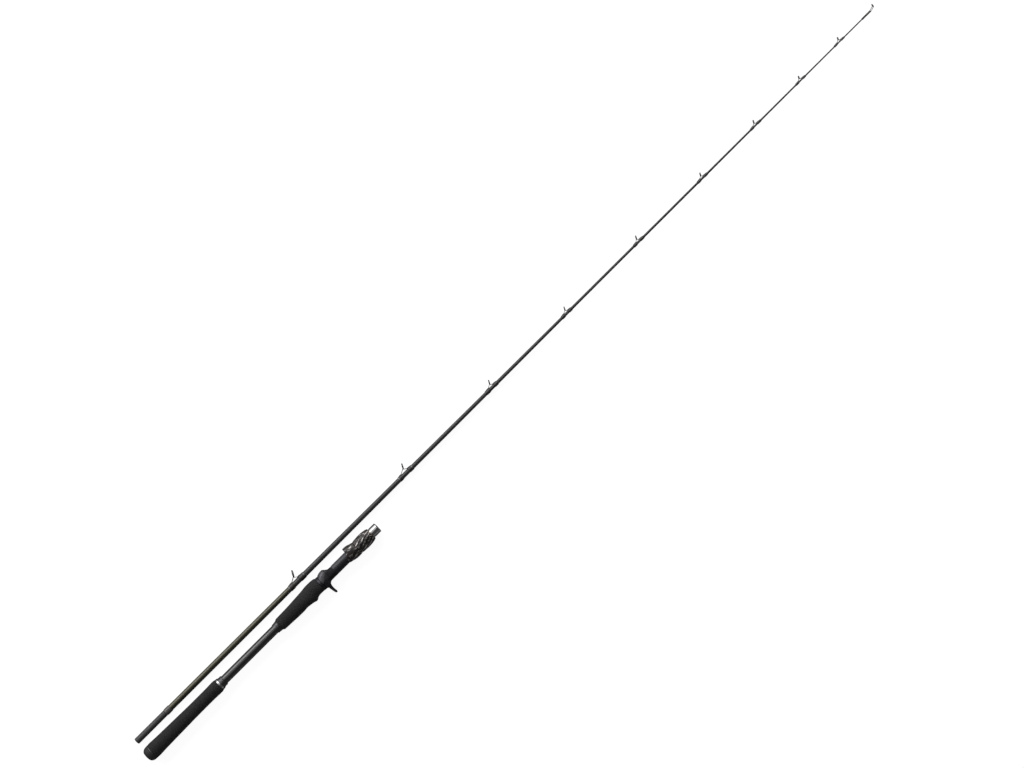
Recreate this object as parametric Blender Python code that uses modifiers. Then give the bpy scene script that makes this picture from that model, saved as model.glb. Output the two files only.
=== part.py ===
"""A two-piece casting rod, taken apart and laid flat: a handle with a trigger reel seat, and beside
it the tip section with its ring guides.

+X runs along both sections towards the tip, +Y is the side that the guides and the reel stand on,
and +Z is up from the surface that the rod lies on. The origin is on that surface, in the middle of
the rod's box. Each section is modelled in millimetres turned to metres, from its own butt forwards,
under an empty on its axis.
"""

import math
from collections import namedtuple

import bmesh
import bpy
from mathutils import Matrix, Vector

MM = 0.001
GAP = 0.3 * MM  # left between pieces that touch or run in each other
ROUND = 28  # sides of a handle piece
SLIM_ROUND = 16  # sides of a tip-section piece

# ---------------------------------------------------------------- how the sections lie
AXIS_SPACING = 28.2 * MM  # from the handle's axis to the tip section's
BUTT_STAGGER = 3.6 * MM  # the tip section's butt, ahead of the handle's

# ---------------------------------------------------------------- tip section
TIP_LENGTH = 1620 * MM
FERRULE_RADIUS = 5.2 * MM  # the butt of the blank, which plugs into the handle
FERRULE_LENGTH = 64 * MM
TIP_END_RADIUS = 1.0 * MM
BUTT_WALL = 0.9 * MM
TIP_WALL = 0.4 * MM
# Share of the length from the butt, and share of the taper that is left there
TAPER = [(0.05, 0.97), (0.21, 0.86), (0.29, 0.77), (0.40, 0.60), (0.50, 0.45), (0.62, 0.28)]
TAPER += [(0.75, 0.19), (0.87, 0.09)]
PLUG_HEAD = 1.2 * MM
PLUG_DEPTH = 9 * MM
FERRULE_WRAP_LENGTH = 11 * MM
WRAP_THICKNESS = 0.5 * MM

# ---------------------------------------------------------------- guides
FIRST_GUIDE = 356.2 * MM  # ring centre of the guide nearest the butt, from the butt
LAST_GUIDE = 76.2 * MM  # ring centre of the guide nearest the tip, back from the tip
LEAN = math.radians(28)  # of each ring, towards the tip
BAND_LENGTH = 1.6 * MM
BAND_WALL = 0.5 * MM
RING_LENGTH = 2.0 * MM
LEG_RADIUS = 0.45 * MM
LEG_SPREAD = math.radians(50)  # where the rear legs meet the band, from its lowest point
FOOT_THICKNESS = 0.6 * MM
FOOT_SHOW = 1.5 * MM  # foot left bare between its wrap and its leg
FOOT_HIDE = 1.0 * MM  # wrap past the end of its foot
WIRE_TILT = math.radians(9)  # keeps the edges of a wire off the plane that it shares with its ring

Guide = namedtuple(
    "Guide", "share ring top rear_reach rear_wrap front_reach front_wrap"
)
# share: of the run from the first guide to the last. ring: outside diameter. top: of the ring over
# the blank's axis. The reaches run from the ring's centre to the near ends of the two wraps.
GUIDES = [
    Guide(0.000, 12.0 * MM, 19.2 * MM, 11.0 * MM, 9.0 * MM, 2.0 * MM, 11.0 * MM),
    Guide(0.201, 9.6 * MM, 16.2 * MM, 11.0 * MM, 7.5 * MM, 3.0 * MM, 8.0 * MM),
    Guide(0.359, 7.8 * MM, 12.9 * MM, 7.5 * MM, 8.5 * MM, 2.0 * MM, 7.5 * MM),
    Guide(0.497, 6.8 * MM, 11.0 * MM, 6.5 * MM, 7.0 * MM, 1.5 * MM, 7.0 * MM),
    Guide(0.629, 6.8 * MM, 10.8 * MM, 5.5 * MM, 7.0 * MM, 2.0 * MM, 7.5 * MM),
    Guide(0.747, 6.0 * MM, 9.6 * MM, 5.5 * MM, 7.5 * MM, 1.5 * MM, 8.0 * MM),
    Guide(0.845, 6.0 * MM, 9.2 * MM, 5.5 * MM, 7.5 * MM, 2.0 * MM, 8.0 * MM),
    Guide(0.928, 5.2 * MM, 8.2 * MM, 4.8 * MM, 7.5 * MM, 2.5 * MM, 7.0 * MM),
    Guide(1.000, 5.2 * MM, 8.0 * MM, 6.0 * MM, 7.5 * MM, 1.5 * MM, 7.5 * MM),
]

TOP_RING = 5.4 * MM  # outside diameter of the tip-top's ring
TOP_LEAN = math.radians(12)
TOP_RISE = 3.6 * MM  # of the tip-top's ring centre over the blank's axis
TOP_TUBE_END = 10 * MM  # back from the tip
TOP_TUBE_LENGTH = 10 * MM
TOP_TUBE_WALL = 0.5 * MM
TOP_WRAP_LENGTH = 8.5 * MM
TOP_LEG_RADIUS = 0.4 * MM

# ---------------------------------------------------------------- handle, from its butt forwards
CAP_LENGTH = 10.4 * MM
CAP_RADIUS = 12.3 * MM
CAP_FACE = 6.5 * MM  # radius of the cap's flat end
CAP_STEM = 13 * MM
BUTT_RING_WIDTH = 1.6 * MM
BUTT_RING_RADIUS = 12.5 * MM
REAR_GRIP_LENGTH = 145.6 * MM
REAR_CHECK_LENGTH = 10.5 * MM
BARE_TUBE_LENGTH = 111.7 * MM
GRIP_CHECK_LENGTH = 9.0 * MM
MAIN_GRIP_LENGTH = 88.7 * MM
SEAT_RING_WIDTH = 4.3 * MM
SEAT_RING_RADIUS = 12.0 * MM
SEAT_LENGTH = 107.1 * MM
COLLAR_LENGTH = 14 * MM

SOCKET_WALL = 1.7 * MM
TUBE_WALL = 1.0 * MM
CHECK_WALL = 0.6 * MM  # thin edge of the two winding checks
SEAT_WALL = 0.7 * MM
COLLAR_WALL = 0.8 * MM
COLLAR_LIP = 0.8 * MM
EDGE = 0.4 * MM  # bevel of the rims that a hand meets
SOCKET_SPARE = 4 * MM  # socket past the end of the seated ferrule
STOP_LENGTH = 6 * MM

# ---------------------------------------------------------------- reel seat, hood and nut
BED_RISE = 0.6 * MM  # of the flat that the reel's foot rests on, over the barrel
BED_HALF_WIDTH = 4.5 * MM
BED_START = 26.9 * MM  # from the seat's rear end
BED_LENGTH = 30.7 * MM
FOOT_ROOM = 4.3 * MM  # height of the two pockets over the bed
POCKET_HALF_WIDTH = 5.3 * MM
POCKET_CORNER = 1.2 * MM
REAR_POCKET = 3.0 * MM  # blind end of the rear pocket, from the seat's rear end
REAR_MOUTH = 12.9 * MM
TRIGGER_ROOT = 1.4 * MM  # rear of the trigger, from the seat's rear end
TRIGGER_REACH = 27.1 * MM  # of its tip below the handle's axis
TRIGGER_HALF_WIDTH = 3.2 * MM

PITCH = 3 * MM
THREAD_DEPTH = 0.9 * MM
THREAD_STEPS = 16
THREAD_ROOT_WIDTH = 1.6 * MM
THREAD_CREST_WIDTH = 0.8 * MM
THREAD_SIDE_ROOM = 0.3 * MM
KEY_HALF_WIDTH = 1.0 * MM

NUT_LENGTH = 30.6 * MM
NUT_RADIUS = 12.5 * MM
NUT_THREAD = 12.6 * MM  # threaded stretch of the nut, in front of the hood's neck
HOOD_LENGTH = 18.3 * MM  # at the top, over the mouth
HOOD_SKIRT = 5.0 * MM  # the lower half reaches this much further back
HOOD_POCKET = 10 * MM
HOOD_STEP = 12.8 * MM  # change of bore, back from the hood's front end
HOOD_OPENS = 12 * MM  # travel towards the tip, and so the least bare barrel behind the thread
NECK_WALL = 0.6 * MM
NECK_LENGTH = 6.7 * MM
LIP_HEIGHT = 0.5 * MM
LIP_LENGTH = 1.2 * MM

# ---------------------------------------------------------------- worked out from those
SOCKET_RADIUS = FERRULE_RADIUS + GAP
TUBE_RADIUS = SOCKET_RADIUS + SOCKET_WALL
TUBE_BORE = TUBE_RADIUS - TUBE_WALL
BORE = TUBE_RADIUS + GAP  # of everything that sits on the tube
BARREL = BORE + SEAT_WALL
BED = BARREL + BED_RISE
CEILING = BED + FOOT_ROOM
THREAD_CREST = BARREL + THREAD_DEPTH
HOOD_BORE = THREAD_CREST + GAP
NECK_RADIUS = HOOD_BORE + NECK_WALL
LIP_RADIUS = NECK_RADIUS + LIP_HEIGHT

BUTT_RING_START = CAP_LENGTH + GAP
REAR_GRIP_START = BUTT_RING_START + BUTT_RING_WIDTH + GAP
REAR_CHECK_START = REAR_GRIP_START + REAR_GRIP_LENGTH + GAP
BARE_TUBE_START = REAR_CHECK_START + REAR_CHECK_LENGTH
GRIP_CHECK_START = BARE_TUBE_START + BARE_TUBE_LENGTH
MAIN_GRIP_START = GRIP_CHECK_START + GRIP_CHECK_LENGTH + GAP
SEAT_RING_START = MAIN_GRIP_START + MAIN_GRIP_LENGTH + GAP
SEAT_START = SEAT_RING_START + SEAT_RING_WIDTH + GAP
SEAT_END = SEAT_START + SEAT_LENGTH
COLLAR_START = SEAT_END + GAP
HANDLE_LENGTH = COLLAR_START + COLLAR_LENGTH
SOCKET_END = HANDLE_LENGTH - COLLAR_LIP - GAP
SOCKET_START = SOCKET_END - FERRULE_LENGTH - SOCKET_SPARE
TUBE_END = SOCKET_START - GAP
NUT_START = SEAT_END - NUT_LENGTH
HOOD_END = NUT_START - GAP
HOOD_START = HOOD_END - HOOD_LENGTH - HOOD_SKIRT
BORE_STEP = HOOD_END - HOOD_STEP
THREAD_START = BORE_STEP + HOOD_OPENS + 2 * GAP

BUTT_X = -(BUTT_STAGGER + TIP_LENGTH) / 2
TIP_Y = (AXIS_SPACING + TRIGGER_REACH - GUIDES[0].top) / 2
HANDLE_Y = TIP_Y - AXIS_SPACING
HANDLE_Z = max(BUTT_RING_RADIUS, NUT_RADIUS)
TIP_Z = GUIDES[0].ring / 2


# ---------------------------------------------------------------- scene, finishes and objects
def clear_scene():
    for old in list(bpy.data.objects):
        bpy.data.objects.remove(old, do_unlink=True)


def collection(name):
    made = bpy.data.collections.new(name)
    bpy.context.scene.collection.children.link(made)
    return made


def finish(name, colour, metallic, roughness):
    made = bpy.data.materials.new(name)
    made.use_nodes = True
    shader = made.node_tree.nodes["Principled BSDF"]
    shader.inputs["Base Color"].default_value = (*colour, 1)
    shader.inputs["Metallic"].default_value = metallic
    shader.inputs["Roughness"].default_value = roughness
    return made


def frame_empty(name, place, owner=None):
    made = bpy.data.objects.new(name, None)
    made.location = place
    made.parent = owner
    PARTS.objects.link(made)
    return made


def part(name, data, owner, look):
    made = bpy.data.objects.new(name, data)
    made.parent = owner
    data.materials.append(look)
    PARTS.objects.link(made)
    return made


def helper(name, data, owner):
    made = bpy.data.objects.new(name, data)
    made.parent = owner
    made.hide_render = True
    made.display_type = "WIRE"
    HELPERS.objects.link(made)
    return made


def combine(piece, operation, *others):
    for other in others:
        step = piece.modifiers.new(other.name, "BOOLEAN")
        step.operation = operation
        step.solver = "EXACT"
        step.object = other


# ---------------------------------------------------------------- shapes
def turned_mesh(name, outline):
    """The half section of a turned piece. outline holds (x, radius) points, from the front end down
    the outer side to the rear end and, on a bored piece, back along its bore."""
    mesh = bpy.data.meshes.new(name)
    edges = [(i, i + 1) for i in range(len(outline) - 1)]
    if all(radius > 0 for x, radius in outline):
        edges.append((len(outline) - 1, 0))
    mesh.from_pydata([(radius, 0, x) for x, radius in outline], edges, [])
    return mesh


def turn(piece, steps):
    """Sweeps a half section about its own Z axis, which is laid along the row's X axis."""
    piece.rotation_euler = (0, math.pi / 2, 0)
    screw = piece.modifiers.new("turn", "SCREW")
    screw.steps = steps
    screw.render_steps = steps
    screw.use_merge_vertices = True
    screw.merge_threshold = 0.00001
    screw.use_smooth_shade = True
    return piece


def turned(name, owner, look, outline, steps=ROUND):
    return turn(part(name, turned_mesh(name, outline), owner, look), steps)


def sleeve(name, owner, look, start, end, bore, radius, steps=ROUND):
    outline = [(end, radius), (start, radius), (start, bore), (end, bore)]
    return turned(name, owner, look, outline, steps)


def bar(name, owner, start, end, radius, sides=ROUND):
    """A helper cylinder along X."""
    shape = bmesh.new()
    middle = Matrix.Translation(((start + end) / 2, 0, 0))
    bmesh.ops.create_cone(
        shape,
        cap_ends=True,
        segments=sides,
        radius1=radius,
        radius2=radius,
        depth=end - start,
        matrix=middle @ Matrix.Rotation(math.pi / 2, 4, "Y"),
    )
    return helper(name, mesh_of(name, shape), owner)


def block(name, owner, low, high):
    """A helper box between two corners."""
    low, high = Vector(low), Vector(high)
    shape = bmesh.new()
    size = Matrix.Diagonal((*(high - low), 1))
    bmesh.ops.create_cube(shape, size=1, matrix=Matrix.Translation((low + high) / 2) @ size)
    return helper(name, mesh_of(name, shape), owner)


def mesh_of(name, shape):
    mesh = bpy.data.meshes.new(name)
    shape.to_mesh(mesh)
    shape.free()
    return mesh


def plate(name, owner, outline, half_width, edge, above):
    """A helper with an outline in X and Y. The edges of its two faces that lie above a height are
    rounded, or left sharp where edge is 0."""
    shape = bmesh.new()
    rim = [shape.verts.new((x, y, -half_width)) for x, y in outline]
    face = shape.faces.new(rim)
    extruded = bmesh.ops.extrude_face_region(shape, geom=[face])["geom"]
    moved = [item for item in extruded if isinstance(item, bmesh.types.BMVert)]
    bmesh.ops.translate(shape, verts=moved, vec=(0, 0, 2 * half_width))
    bmesh.ops.recalc_face_normals(shape, faces=shape.faces)
    if edge:
        level = [e for e in shape.edges if e.verts[0].co.z == e.verts[1].co.z]
        bmesh.ops.bevel(
            shape,
            geom=[e for e in level if min(v.co.y for v in e.verts) > above],
            offset=edge,
            segments=2,
            affect="EDGES",
            profile=0.5,
            material=-1,
        )
    return helper(name, mesh_of(name, shape), owner)


def loft(name, owner, look, stations, sides=ROUND):
    """A skin through upright ovals. A station is (x, top, depth, half width, power), measured from
    the handle's axis: the upper and lower halves of its oval have their own heights. A power of 2
    makes the upper half an ellipse, and a larger one makes it squarer."""
    shape = bmesh.new()
    rings = []
    for x, top, depth, half_width, power in stations:
        ring = []
        for step in range(sides):
            angle = 2 * math.pi * step / sides
            up, across = math.sin(angle), math.cos(angle)
            if up > 0:
                height = top * up ** (2 / power)
                across = math.copysign(abs(across) ** (2 / power), across)
            else:
                height = depth * up
            ring.append(shape.verts.new((x, height, half_width * across)))
        rings.append(ring)
    for rear, front in zip(rings, rings[1:]):
        for step in range(sides):
            after = (step + 1) % sides
            shape.faces.new((rear[step], rear[after], front[after], front[step]))
    shape.faces.new(rings[0])
    shape.faces.new(rings[-1])
    bmesh.ops.recalc_face_normals(shape, faces=shape.faces)
    mesh = mesh_of(name, shape)
    mesh.shade_smooth()
    mesh.set_sharp_from_angle(angle=math.radians(40))
    return part(name, mesh, owner, look)


def settled(name, source, owner):
    """A closed helper mesh of what a curve or an open sweep evaluates to; the source is removed."""
    bpy.context.view_layer.update()
    graph = bpy.context.evaluated_depsgraph_get()
    mesh = bpy.data.meshes.new_from_object(source.evaluated_get(graph))
    shape = bmesh.new()
    shape.from_mesh(mesh)
    bmesh.ops.remove_doubles(shape, verts=shape.verts, dist=0.000005)
    bmesh.ops.holes_fill(shape, edges=shape.edges, sides=0)
    bmesh.ops.recalc_face_normals(shape, faces=shape.faces)
    made = helper(name, mesh_of(name, shape), owner)
    made.rotation_euler = source.rotation_euler
    bpy.data.objects.remove(source)
    return made


def wire(name, owner, points, radius):
    """A helper rod through points, with filled ends."""
    curve = bpy.data.curves.new(name + "_line", "CURVE")
    curve.dimensions = "3D"
    curve.bevel_depth = radius
    curve.bevel_resolution = 1
    curve.use_fill_caps = True
    spline = curve.splines.new("POLY")
    spline.points.add(len(points) - 1)
    for spot, place in zip(spline.points, points):
        spot.co = (*place, 1)
        spot.tilt = WIRE_TILT
    return settled(name, helper(name + "_line", curve, owner), owner)


def ridge(name, owner, start, turns, root, crest, root_width, crest_width):
    """A closed helper ridge that winds right-handed about X, forwards from start."""
    outline = [
        (start + root_width / 2, root),
        (start + crest_width / 2, crest),
        (start - crest_width / 2, crest),
        (start - root_width / 2, root),
    ]
    source = turn(helper(name + "_line", turned_mesh(name, outline), owner), THREAD_STEPS)
    screw = source.modifiers["turn"]
    screw.use_merge_vertices = False
    screw.screw_offset = PITCH
    screw.iterations = turns
    return settled(name, source, owner)


# ---------------------------------------------------------------- tip section
def blank_radius(x):
    """Outer radius of the blank at x from its butt."""
    stations = [(0, 1), *TAPER, (1, 0)]
    share = min(max(x / TIP_LENGTH, 0), 1)
    for (low, thick), (high, thin) in zip(stations, stations[1:]):
        if share <= high:
            left = thick + (thin - thick) * (share - low) / (high - low)
            break
    return TIP_END_RADIUS + (FERRULE_RADIUS - TIP_END_RADIUS) * left


def make_blank(owner):
    rear = PLUG_HEAD + GAP
    front = TIP_LENGTH - TOP_TUBE_END - 2 * GAP
    between = [share * TIP_LENGTH for share, left in reversed(TAPER)]
    outline = [(x, blank_radius(x)) for x in [front, *between, rear]]
    outline += [(rear, FERRULE_RADIUS - BUTT_WALL), (front, TIP_END_RADIUS - TIP_WALL)]
    turned("blank", owner, CARBON, outline, SLIM_ROUND)


def make_butt_plug(owner):
    stem = FERRULE_RADIUS - BUTT_WALL - GAP
    head = blank_radius(PLUG_HEAD)
    outline = [(PLUG_DEPTH, 0), (PLUG_DEPTH, stem - EDGE), (PLUG_HEAD, stem)]
    outline += [(PLUG_HEAD, head), (EDGE, head), (0, head - 2 * EDGE), (0, 0)]
    turned("butt_plug", owner, RUBBER, outline, SLIM_ROUND)


def make_round_wrap(name, owner, start, length):
    bore = blank_radius(start) + GAP
    outer = bore + WRAP_THICKNESS
    outline = [(start + length, bore + 0.3 * MM), (start + length - 1 * MM, outer)]
    outline += [(start + 1 * MM, outer), (start, bore + 0.3 * MM), (start, bore)]
    outline += [(start + length, bore)]
    turned(name, owner, THREAD, outline, SLIM_ROUND)


def saddle_outline(radius, half_width, height, steps=12):
    """A round outline with an upright block on top of it."""
    wall = math.asin(half_width / radius)
    around = [wall + (2 * math.pi - 2 * wall) * i / steps for i in range(steps + 1)]
    outline = [(radius * math.sin(a), radius * math.cos(a)) for a in around]
    return outline + [(-half_width, height), (half_width, height)]


def make_foot_wrap(name, owner, start, length, foot_half):
    """A wrap over a guide's foot: a saddle-shaped sleeve, cut to length along X."""
    bore = blank_radius(start) + GAP
    foot_top = bore + FOOT_THICKNESS + GAP
    curve = bpy.data.curves.new(name, "CURVE")
    curve.dimensions = "2D"
    curve.fill_mode = "BOTH"
    curve.extrude = length / 2
    walls = (0, WRAP_THICKNESS)
    for wall in walls:
        outline = saddle_outline(bore + wall, foot_half + GAP + wall * 0.8, foot_top + wall)
        spline = curve.splines.new("POLY")
        spline.points.add(len(outline) - 1)
        for spot, (across, up) in zip(spline.points, outline):
            spot.co = (across, up, 0, 1)
        spline.use_cyclic_u = True
    wrap = part(name, curve, owner, THREAD)
    wrap.location = (start + length / 2, 0, 0)
    wrap.rotation_euler = (0, math.pi / 2, 0)


def lean_on(piece, centre, lean):
    """Puts a turned piece that was made about its own centre where a ring stands."""
    piece.location = centre
    piece.rotation_euler = (0, math.pi / 2, -lean)


def make_ring_pair(number, owner, ring, centre, lean):
    """A guide's ceramic ring, and the metal band that holds it. Returns the band."""
    inner = ring / 2 - BAND_WALL
    half = BAND_LENGTH / 2
    outline = [(half, ring / 2), (-half, ring / 2), (-half, inner), (half, inner)]
    band = turned(f"{number}_frame", owner, GUIDE_METAL, outline, SLIM_ROUND)
    lean_on(band, centre, lean)
    seat = inner - GAP
    hole = seat - (0.35 * MM + 0.1 * ring / 2)
    half = RING_LENGTH / 2
    outline = [(half * 0.5, seat), (-half * 0.5, seat), (-half, seat * 0.6 + hole * 0.4)]
    outline += [(-half * 0.6, hole), (half * 0.6, hole), (half, seat * 0.6 + hole * 0.4)]
    lean_on(turned(f"{number}_ring", owner, CERAMIC, outline, SLIM_ROUND), centre, lean)
    return band


def on_band(centre, lean, radius, spread, side):
    """A point on a leaning ring, spread round from its lowest point."""
    down = Vector((-math.sin(lean), -math.cos(lean), 0))
    across = Vector((0, 0, side))
    return centre + radius * (math.cos(spread) * down + math.sin(spread) * across)


def make_guide(index, guide, owner):
    name = f"guide_{index}"
    run = TIP_LENGTH - LAST_GUIDE - FIRST_GUIDE
    x = FIRST_GUIDE + guide.share * run
    lift = guide.ring / 2 * math.cos(LEAN) + BAND_LENGTH / 2 * math.sin(LEAN)
    centre = Vector((x, guide.top - lift, 0))
    foot_half = 0.13 * MM + 0.09 * guide.ring
    rear_end = x - guide.rear_reach
    rear_start = rear_end - guide.rear_wrap
    front_start = x + guide.front_reach
    front_end = front_start + guide.front_wrap
    band = make_ring_pair(name, owner, guide.ring, centre, LEAN)

    rear_floor = blank_radius(rear_start) + GAP
    front_floor = blank_radius(front_start) + GAP
    feet = [
        block(
            f"{name}_rear_foot",
            owner,
            (rear_start + FOOT_HIDE, rear_floor, -foot_half),
            (rear_end + FOOT_SHOW, rear_floor + FOOT_THICKNESS, foot_half),
        ),
        block(
            f"{name}_front_foot",
            owner,
            (front_start - FOOT_SHOW, front_floor, -foot_half),
            (front_end - FOOT_HIDE, front_floor + FOOT_THICKNESS, foot_half),
        ),
    ]
    heel = Vector((rear_end + FOOT_SHOW - LEG_RADIUS * 2, rear_floor + LEG_RADIUS, 0))
    legs = []
    for side in (-1, 1):
        start = heel + Vector((0, 0, side * (foot_half - LEG_RADIUS * 0.6)))
        top = on_band(centre, LEAN, guide.ring / 2, LEG_SPREAD, side)
        legs.append(wire(f"{name}_leg_{side + 2}", owner, [start, top], LEG_RADIUS))
    toe = Vector((front_start - FOOT_SHOW + LEG_RADIUS, front_floor + LEG_RADIUS, 0))
    low = on_band(centre, LEAN, guide.ring / 2, 0, 1)
    legs.append(wire(f"{name}_brace", owner, [low, toe], LEG_RADIUS))
    combine(band, "UNION", *feet, *legs)

    make_foot_wrap(f"{name}_rear_wrap", owner, rear_start, guide.rear_wrap, foot_half)
    make_foot_wrap(f"{name}_front_wrap", owner, front_start, guide.front_wrap, foot_half)


def make_tip_top(owner):
    """The end guide: a tube on the tip of the blank, two side legs, a brace and a ring."""
    reach = TOP_RING / 2 * math.sin(TOP_LEAN) + RING_LENGTH / 2 * math.cos(TOP_LEAN)
    centre = Vector((TIP_LENGTH - reach, TOP_RISE, 0))
    band = make_ring_pair("tip_top", owner, TOP_RING, centre, TOP_LEAN)
    tube_end = TIP_LENGTH - TOP_TUBE_END
    tube_start = tube_end - TOP_TUBE_LENGTH
    bore = blank_radius(tube_start) + GAP
    outer = bore + TOP_TUBE_WALL
    outline = [(tube_end + TOP_TUBE_WALL, 0), (tube_end + TOP_TUBE_WALL, outer - 0.3 * MM)]
    outline += [(tube_end, outer), (tube_start, outer), (tube_start, bore)]
    outline += [(tube_end - GAP, bore), (tube_end - GAP, 0)]
    tube = turn(helper("tip_top_tube", turned_mesh("tip_top_tube", outline), owner), 12)
    wires = []
    for side in (-1, 1):
        heel = Vector((tube_end - 3 * MM, 0, side * outer))
        top = on_band(centre, TOP_LEAN, TOP_RING / 2, math.radians(80), side)
        wires.append(wire(f"tip_top_leg_{side + 2}", owner, [heel, top], TOP_LEG_RADIUS))
    heel = Vector((tube_end - 1 * MM, -outer, 0))
    low = on_band(centre, TOP_LEAN, TOP_RING / 2, 0, 1)
    wires.append(wire("tip_top_brace", owner, [heel, low], TOP_LEG_RADIUS))
    combine(band, "UNION", tube, *wires)
    wrap_start = tube_start - GAP - TOP_WRAP_LENGTH
    make_round_wrap("tip_top_wrap", owner, wrap_start, TOP_WRAP_LENGTH)


def make_tip_section():
    owner = frame_empty("tip_section", (BUTT_X + BUTT_STAGGER, TIP_Y, TIP_Z))
    make_blank(owner)
    make_butt_plug(owner)
    make_round_wrap("ferrule_wrap", owner, FERRULE_LENGTH, FERRULE_WRAP_LENGTH)
    for index, guide in enumerate(GUIDES, 1):
        make_guide(index, guide, owner)
    make_tip_top(owner)


# ---------------------------------------------------------------- handle
def make_butt(owner):
    """The rubber cap with its stem in the tube, and the thin ring in front of it."""
    stem = TUBE_BORE - GAP
    outline = [(CAP_LENGTH + CAP_STEM, 0), (CAP_LENGTH + CAP_STEM, stem), (CAP_LENGTH, stem)]
    outline.append((CAP_LENGTH, CAP_RADIUS))
    # Share of the cap's length from its flat end, and of the way out from the flat end's radius
    shape = [(0.80, 0.98), (0.64, 0.93), (0.48, 0.86), (0.34, 0.72), (0.19, 0.37), (0.06, 0.1)]
    shape.append((0, 0))
    for along, out in shape:
        outline.append((along * CAP_LENGTH, CAP_FACE + out * (CAP_RADIUS - CAP_FACE)))
    outline.append((0, 0))
    turned("butt_cap", owner, RUBBER, outline)
    start = BUTT_RING_START
    end = start + BUTT_RING_WIDTH
    sleeve("butt_ring", owner, ALLOY, start, end, BORE, BUTT_RING_RADIUS)


def make_rear_grip(owner):
    end = REAR_GRIP_START + REAR_GRIP_LENGTH
    # Share of the grip's length from its rear end, and radius there
    shape = [(0, 12.2), (0.03, 12.4), (0.13, 11.8), (0.30, 11.2), (0.46, 10.75), (0.62, 10.35)]
    shape += [(0.80, 10.3), (0.90, 10.5), (0.965, 10.9), (0.985, 10.7), (1, 9.9)]
    outline = [
        (REAR_GRIP_START + share * REAR_GRIP_LENGTH, radius * MM)
        for share, radius in reversed(shape)
    ]
    turned("rear_grip", owner, FOAM, outline + [(REAR_GRIP_START, BORE), (end, BORE)])


def make_checks(owner):
    """The two stepped winding rings that close the grips onto the bare tube."""
    start = REAR_CHECK_START
    end = start + REAR_CHECK_LENGTH
    thin = BORE + CHECK_WALL
    outline = [(end, thin), (end - 1 * MM, thin + 0.5 * MM), (end - 2 * MM, thin + 0.3 * MM)]
    outline += [(start + 3.2 * MM, thin + 1.1 * MM), (start + 3 * MM, thin + 1.6 * MM)]
    outline += [(start, thin + 1.8 * MM), (start, BORE), (end, BORE)]
    turned("rear_grip_check", owner, ALLOY, outline)
    start = GRIP_CHECK_START
    end = start + GRIP_CHECK_LENGTH
    outline = [(end, thin + 1.2 * MM), (end - 3 * MM, thin + 0.7 * MM), (start, thin)]
    turned("main_grip_check", owner, ALLOY, outline + [(start, BORE), (end, BORE)])


def make_tube(owner):
    sleeve("handle_tube", owner, CARBON, BUTT_RING_START, TUBE_END, TUBE_BORE, TUBE_RADIUS)


def make_main_grip(owner):
    """The fore grip: it swells upwards at the front, and a hooked lip below it stops the finger."""
    rows = [(0, 9.2, 9.6, 9.3), (1.2, 10.0, 10.8, 10.3), (16, 10.4, 11.5, 10.8)]
    rows += [(30, 10.8, 12.1, 11.1), (41, 11.5, 12.3, 11.4), (50, 12.0, 11.7, 11.5)]
    rows += [(58, 12.6, 12.6, 11.6), (64, 13.2, 13.7, 11.6), (67.5, 13.6, 15.0, 11.5)]
    rows += [(70, 13.8, 14.3, 11.4), (73, 13.8, 12.5, 11.3), (76, 13.8, 11.5, 11.2)]
    rows += [(81, 13.7, 11.2, 11.2), (86, 13.2, 11.2, 11.3), (88.7, 12.2, 11.4, 11.4)]
    stretch = MAIN_GRIP_LENGTH / rows[-1][0]
    stations = [
        (MAIN_GRIP_START + x * stretch, top * MM, depth * MM, half * MM, 2)
        for x, top, depth, half in rows
    ]
    grip = loft("main_grip", owner, FOAM, stations)
    end = MAIN_GRIP_START + MAIN_GRIP_LENGTH
    combine(grip, "DIFFERENCE", bar("grip_bore", owner, MAIN_GRIP_START - MM, end + MM, BORE))
    start = SEAT_RING_START
    end = start + SEAT_RING_WIDTH
    sleeve("seat_ring", owner, ALLOY, start, end, BORE, SEAT_RING_RADIUS)


def make_trigger(owner):
    """Outline of the trigger, in X from the seat's rear end and Y from the handle's axis."""
    root = SEAT_START + TRIGGER_ROOT
    tip = -TRIGGER_REACH
    outline = [
        (root, -BARREL),
        (root + 0.4 * MM, -BARREL - 4 * MM),
        (root + 1.2 * MM, tip + 9 * MM),
        (root + 1.8 * MM, tip + 4 * MM),
        (root + 2.3 * MM, tip + 1 * MM),
        (root + 3.2 * MM, tip),
        (root + 4.9 * MM, tip),
        (root + 6.1 * MM, tip + 0.8 * MM),
        (root + 6.1 * MM, tip + 4 * MM),
        (root + 5.5 * MM, tip + 9 * MM),
        (root + 5.7 * MM, -BARREL - 5.5 * MM),
        (root + 6.5 * MM, -BARREL - 2.5 * MM),
        (root + 8.5 * MM, -BARREL + 0.4 * MM),
    ]
    return plate("trigger", owner, outline, TRIGGER_HALF_WIDTH, 0.9 * MM, -2 * TRIGGER_REACH)


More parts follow.
